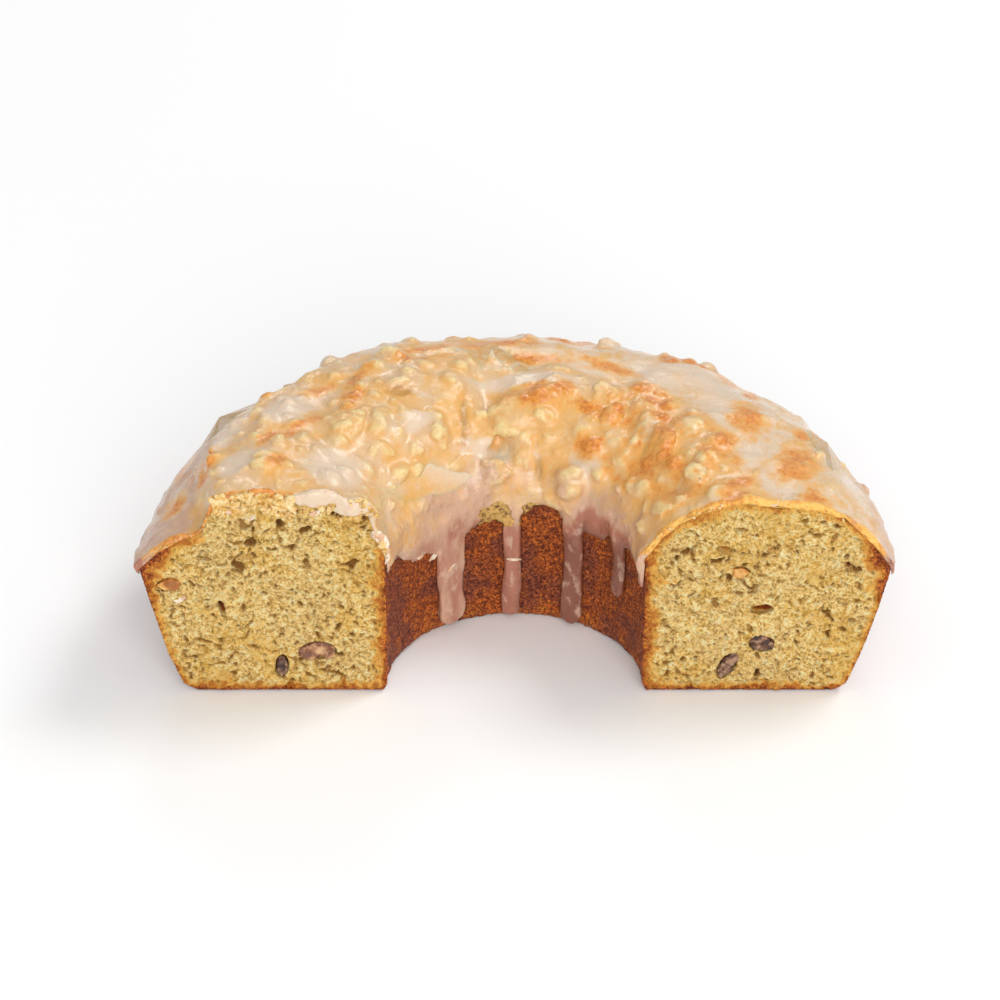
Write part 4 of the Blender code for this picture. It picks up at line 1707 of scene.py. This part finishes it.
@dataclass
class LooseBits:
    """The loose crumble along the cut edges, and the broken flakes of set glaze.

    Args:
        seed: the seed of the loose crumble.
        sink: how far behind the cut plane the middle of a bit lies at most, in metres.
        stand: how far before the cut plane the middle of a bit lies at most, in metres.
        heaps: the runs of loose crumble.
        cut_shards: the flakes along the cut edges.
        wall_shards: the flakes on the wall of the hole, by angle, height in millimetres, length,
            width and turn.
    """

    seed: int = 7
    sink: float = 0.5 * MM
    stand: float = 0.25 * MM
    heaps: tuple[Heap, ...] = (
        Heap((-84.5 * MM, -62 * MM), 6.5 * MM, 210, (0.5 * MM, 2.9 * MM)),
        Heap((-66 * MM, -44 * MM), 4.0 * MM, 50, (0.4 * MM, 2.0 * MM), 4.6 * MM),
        Heap((-48 * MM, -35 * MM), 3.4 * MM, 50, (0.5 * MM, 2.3 * MM)),
        Heap((-104 * MM, -86 * MM), 1.6 * MM, 18, (0.4 * MM, 1.7 * MM)),
        Heap((54 * MM, 96 * MM), 1.4 * MM, 16, (0.4 * MM, 1.3 * MM)),
        Heap((38 * MM, 54 * MM), 1.6 * MM, 9, (0.4 * MM, 1.6 * MM)),
    )
    cut_shards: tuple[Shard, ...] = (
        Shard((-36.4 * MM, CUT_Y, 53.0 * MM), (0.35, -0.8, 0.45), 6.0 * MM, 2.8 * MM, 130),
        Shard((-34.6 * MM, CUT_Y, 50.4 * MM), (0.60, -0.7, 0.25), 4.6 * MM, 2.2 * MM, 110),
        Shard((-33.4 * MM, CUT_Y, 47.0 * MM), (0.50, -0.8, 0.20), 3.6 * MM, 1.5 * MM, 80),
        Shard((-38.4 * MM, CUT_Y, 55.0 * MM), (0.10, -0.8, 0.60), 3.6 * MM, 1.8 * MM, 150),
        Shard((-95.8 * MM, CUT_Y, 32.2 * MM), (-0.2, -0.9, 0.35), 4.4 * MM, 1.9 * MM, 5),
        Shard((72.5 * MM, CUT_Y, 64.6 * MM), (0.0, -0.7, 0.7), 2.8 * MM, 1.2 * MM, 10),
        Shard((-56.0 * MM, CUT_Y, 62.0 * MM), (0.0, -0.9, 0.4), 3.2 * MM, 1.4 * MM, 20),
        Shard((-80.0 * MM, CUT_Y, 62.5 * MM), (0.0, -0.9, 0.4), 4.2 * MM, 1.7 * MM, -12),
        Shard((-74.0 * MM, CUT_Y, 60.0 * MM), (0.0, -0.9, 0.4), 3.4 * MM, 1.3 * MM, 8),
    )
    wall_shards: tuple[tuple[float, float, float, float, float], ...] = (
        (139.0, 31.0, 3.4 * MM, 1.6 * MM, 20),
        (130.5, 27.6, 4.6 * MM, 1.7 * MM, 35),
        (120.5, 26.4, 4.4 * MM, 1.2 * MM, 12),
        (122.5, 22.4, 3.4 * MM, 0.9 * MM, 40),
        (90.5, 21.6, 4.2 * MM, 0.9 * MM, -4),
    )

    def build(self, icing: Piece, sponge: Piece) -> None:
        """Builds the crumble and the flakes on the finished icing and sponge."""
        self.build_crumble(icing)
        self.build_flakes(icing, sponge)

    def build_crumble(self, icing: Piece) -> None:
        """Builds the loose crumble, as one mesh.

        Args:
            icing: the finished icing.
        """
        draw = random.Random(self.seed)
        glaze = surface_of(icing)
        patterns = [nugget_pattern(variant) for variant in range(4)]
        bits = []
        for heap in self.heaps:
            for _ in range(heap.count):
                x = draw.uniform(*heap.reach)
                size = heap.sizes[0] + (heap.sizes[1] - heap.sizes[0]) * draw.random() ** 1.8
                drop = heap.drop * draw.random() ** 1.5
                y = CUT_Y + draw.uniform(-self.stand, self.sink)
                swing = draw.uniform(0, math.tau)
                turn = Matrix.Rotation(swing, 4, Vector((draw.random(), draw.random(), 0.3)))
                length, height = size * draw.uniform(0.9, 1.8), size * draw.uniform(0.5, 1.0)
                stretch = Matrix.Diagonal((length, size * 0.75, height, 1.0))
                hit, _, _, _ = glaze.ray_cast(Vector((x, CUT_Y + 0.8 * MM, HIGH)), DOWN)
                if hit is not None:
                    place = Matrix.Translation((x, y, hit.z - heap.start - drop))
                    bits.append(placed_copy(draw.choice(patterns), place @ turn @ stretch))
        crumble = bits.pop()
        crumble.name = "loose_crumble"
        join_pieces(crumble, bits, patterns)
        finish_piece(crumble, DryCrumb().make())

    def build_flakes(self, icing: Piece, sponge: Piece) -> None:
        """Builds the flakes, each laid on what carries it, as one mesh.

        Args:
            icing: the finished icing.
            sponge: the finished sponge.
        """
        grounds = [surface_of(piece) for piece in (icing, sponge)]
        patterns = [shard_pattern(variant) for variant in range(3)]
        shards = list(self.cut_shards)
        for angle, height, length, width, turn in self.wall_shards:
            way = Vector((math.cos(math.radians(angle)), math.sin(math.radians(angle)), 0))
            place = way * (HOLE_RADIUS - 1 * MM) + Vector((0, CUT_Y, height * MM))
            shards.append(Shard(tuple(place), tuple(-way), length, width, turn))
        flakes = []
        for index, shard in enumerate(shards):
            found = [ground.find_nearest(Vector(shard.place)) for ground in grounds]
            spot = min(found, key=lambda hit: hit[3])[0]
            facing = Vector(shard.facing).normalized()
            lean = facing.to_track_quat("Z", "Y").to_matrix().to_4x4()
            turn = Matrix.Rotation(math.radians(shard.turn), 4, "Z")
            stretch = Matrix.Diagonal((shard.length, shard.width, 2.4 * MM, 1.0))
            place = Matrix.Translation(spot - facing * 0.05 * MM)
            flakes.append(placed_copy(patterns[index % 3], place @ lean @ turn @ stretch))
        sugar = flakes.pop()
        sugar.name = "glaze_flakes"
        join_pieces(sugar, flakes, patterns)
        finish_piece(sugar, SetSugar().make())


@dataclass
class Studio:
    """The pale floor, the soft lights and the camera at the photo's angle.

    Args:
        elevation: how far the camera looks down, in degrees.
        distance_back: how far before the cut plane it stands.
        camera_height: how high above the base it stands.
        camera_x: where it stands from left to right.
        lens: its focal length, in millimetres.
        floor_size: the side of the floor.
        floor_gap: how far the floor lies below the base.
    """

    elevation: float = 33.889
    distance_back: float = 0.8088
    camera_height: float = 0.6097
    camera_x: float = -0.0043
    lens: float = 125.6
    floor_size: float = 6.0
    floor_gap: float = 0.4 * MM

    def build(self) -> None:
        """Builds the floor, the lights and the camera."""
        self.build_floor()
        self.build_lights()
        self.build_camera()

    def build_floor(self) -> None:
        """A plain white floor."""
        bpy.ops.object.select_all(action="DESELECT")
        bpy.ops.mesh.primitive_plane_add(size=self.floor_size, location=(0, 0, -self.floor_gap))
        floor = bpy.context.object
        floor.name = "studio_floor"
        bpy.ops.object.transform_apply(location=True)
        floor.data.materials.append(WhiteFloor().make())

    def build_lights(self) -> None:
        """A white room, a broad key from the upper right, a broad fill from the front and a small sheen light
        from behind.
        """
        world = bpy.data.worlds.new("white_room")
        bpy.context.scene.world = world
        world.use_nodes = True
        background = world.node_tree.nodes["Background"]
        background.inputs["Color"].default_value = (1.0, 1.0, 1.0, 1.0)
        background.inputs["Strength"].default_value = 0.50
        self.area_light("key", (1.50, 0.70, 2.25), 1.0, 27.0)
        self.area_light("front", (0.35, -2.75, 1.50), 2.2, 68.0)
        self.area_light("sheen", (-0.20, 2.40, 1.90), 0.6, 9.0)

    @staticmethod
    def area_light(name: str, place: tuple[float, float, float], size: float, power: float) -> None:
        """A soft square light that looks at the cake.

        Args:
            name: its name.
            place: where it stands.
            size: its side.
            power: its power in watts.
        """
        light = bpy.data.lights.new(name, "AREA")
        light.size = size
        light.energy = power
        lamp = bpy.data.objects.new(name, light)
        bpy.context.scene.collection.objects.link(lamp)
        lamp.location = place
        lamp.rotation_euler = (Vector((0, 0, 0.03)) - Vector(place)).to_track_quat("-Z", "Y").to_euler()

    def build_camera(self) -> None:
        """A camera where the photo was taken from."""
        camera = bpy.data.cameras.new("photo_camera")
        camera.lens = self.lens
        camera.sensor_width = 36.0
        camera.clip_end = 20.0
        stand = bpy.data.objects.new("photo_camera", camera)
        bpy.context.scene.collection.objects.link(stand)
        stand.location = (self.camera_x, CUT_Y - self.distance_back, self.camera_height)
        stand.rotation_euler = (math.radians(90 - self.elevation), 0.0, 0.0)
        bpy.context.scene.camera = stand


def main() -> None:
    """Builds the studio and every piece of the cake."""
    logging.basicConfig(level=logging.INFO, format="%(name)s: %(message)s")
    bpy.context.scene.view_settings.view_transform = "Standard"
    Studio().build()
    sponge = Sponge().build()
    icing = CrumbleTop().build()
    Walnuts().build()
    LooseBits().build(icing, sponge)
    bpy.context.view_layer.update()


if __name__ == "__main__":
    main()
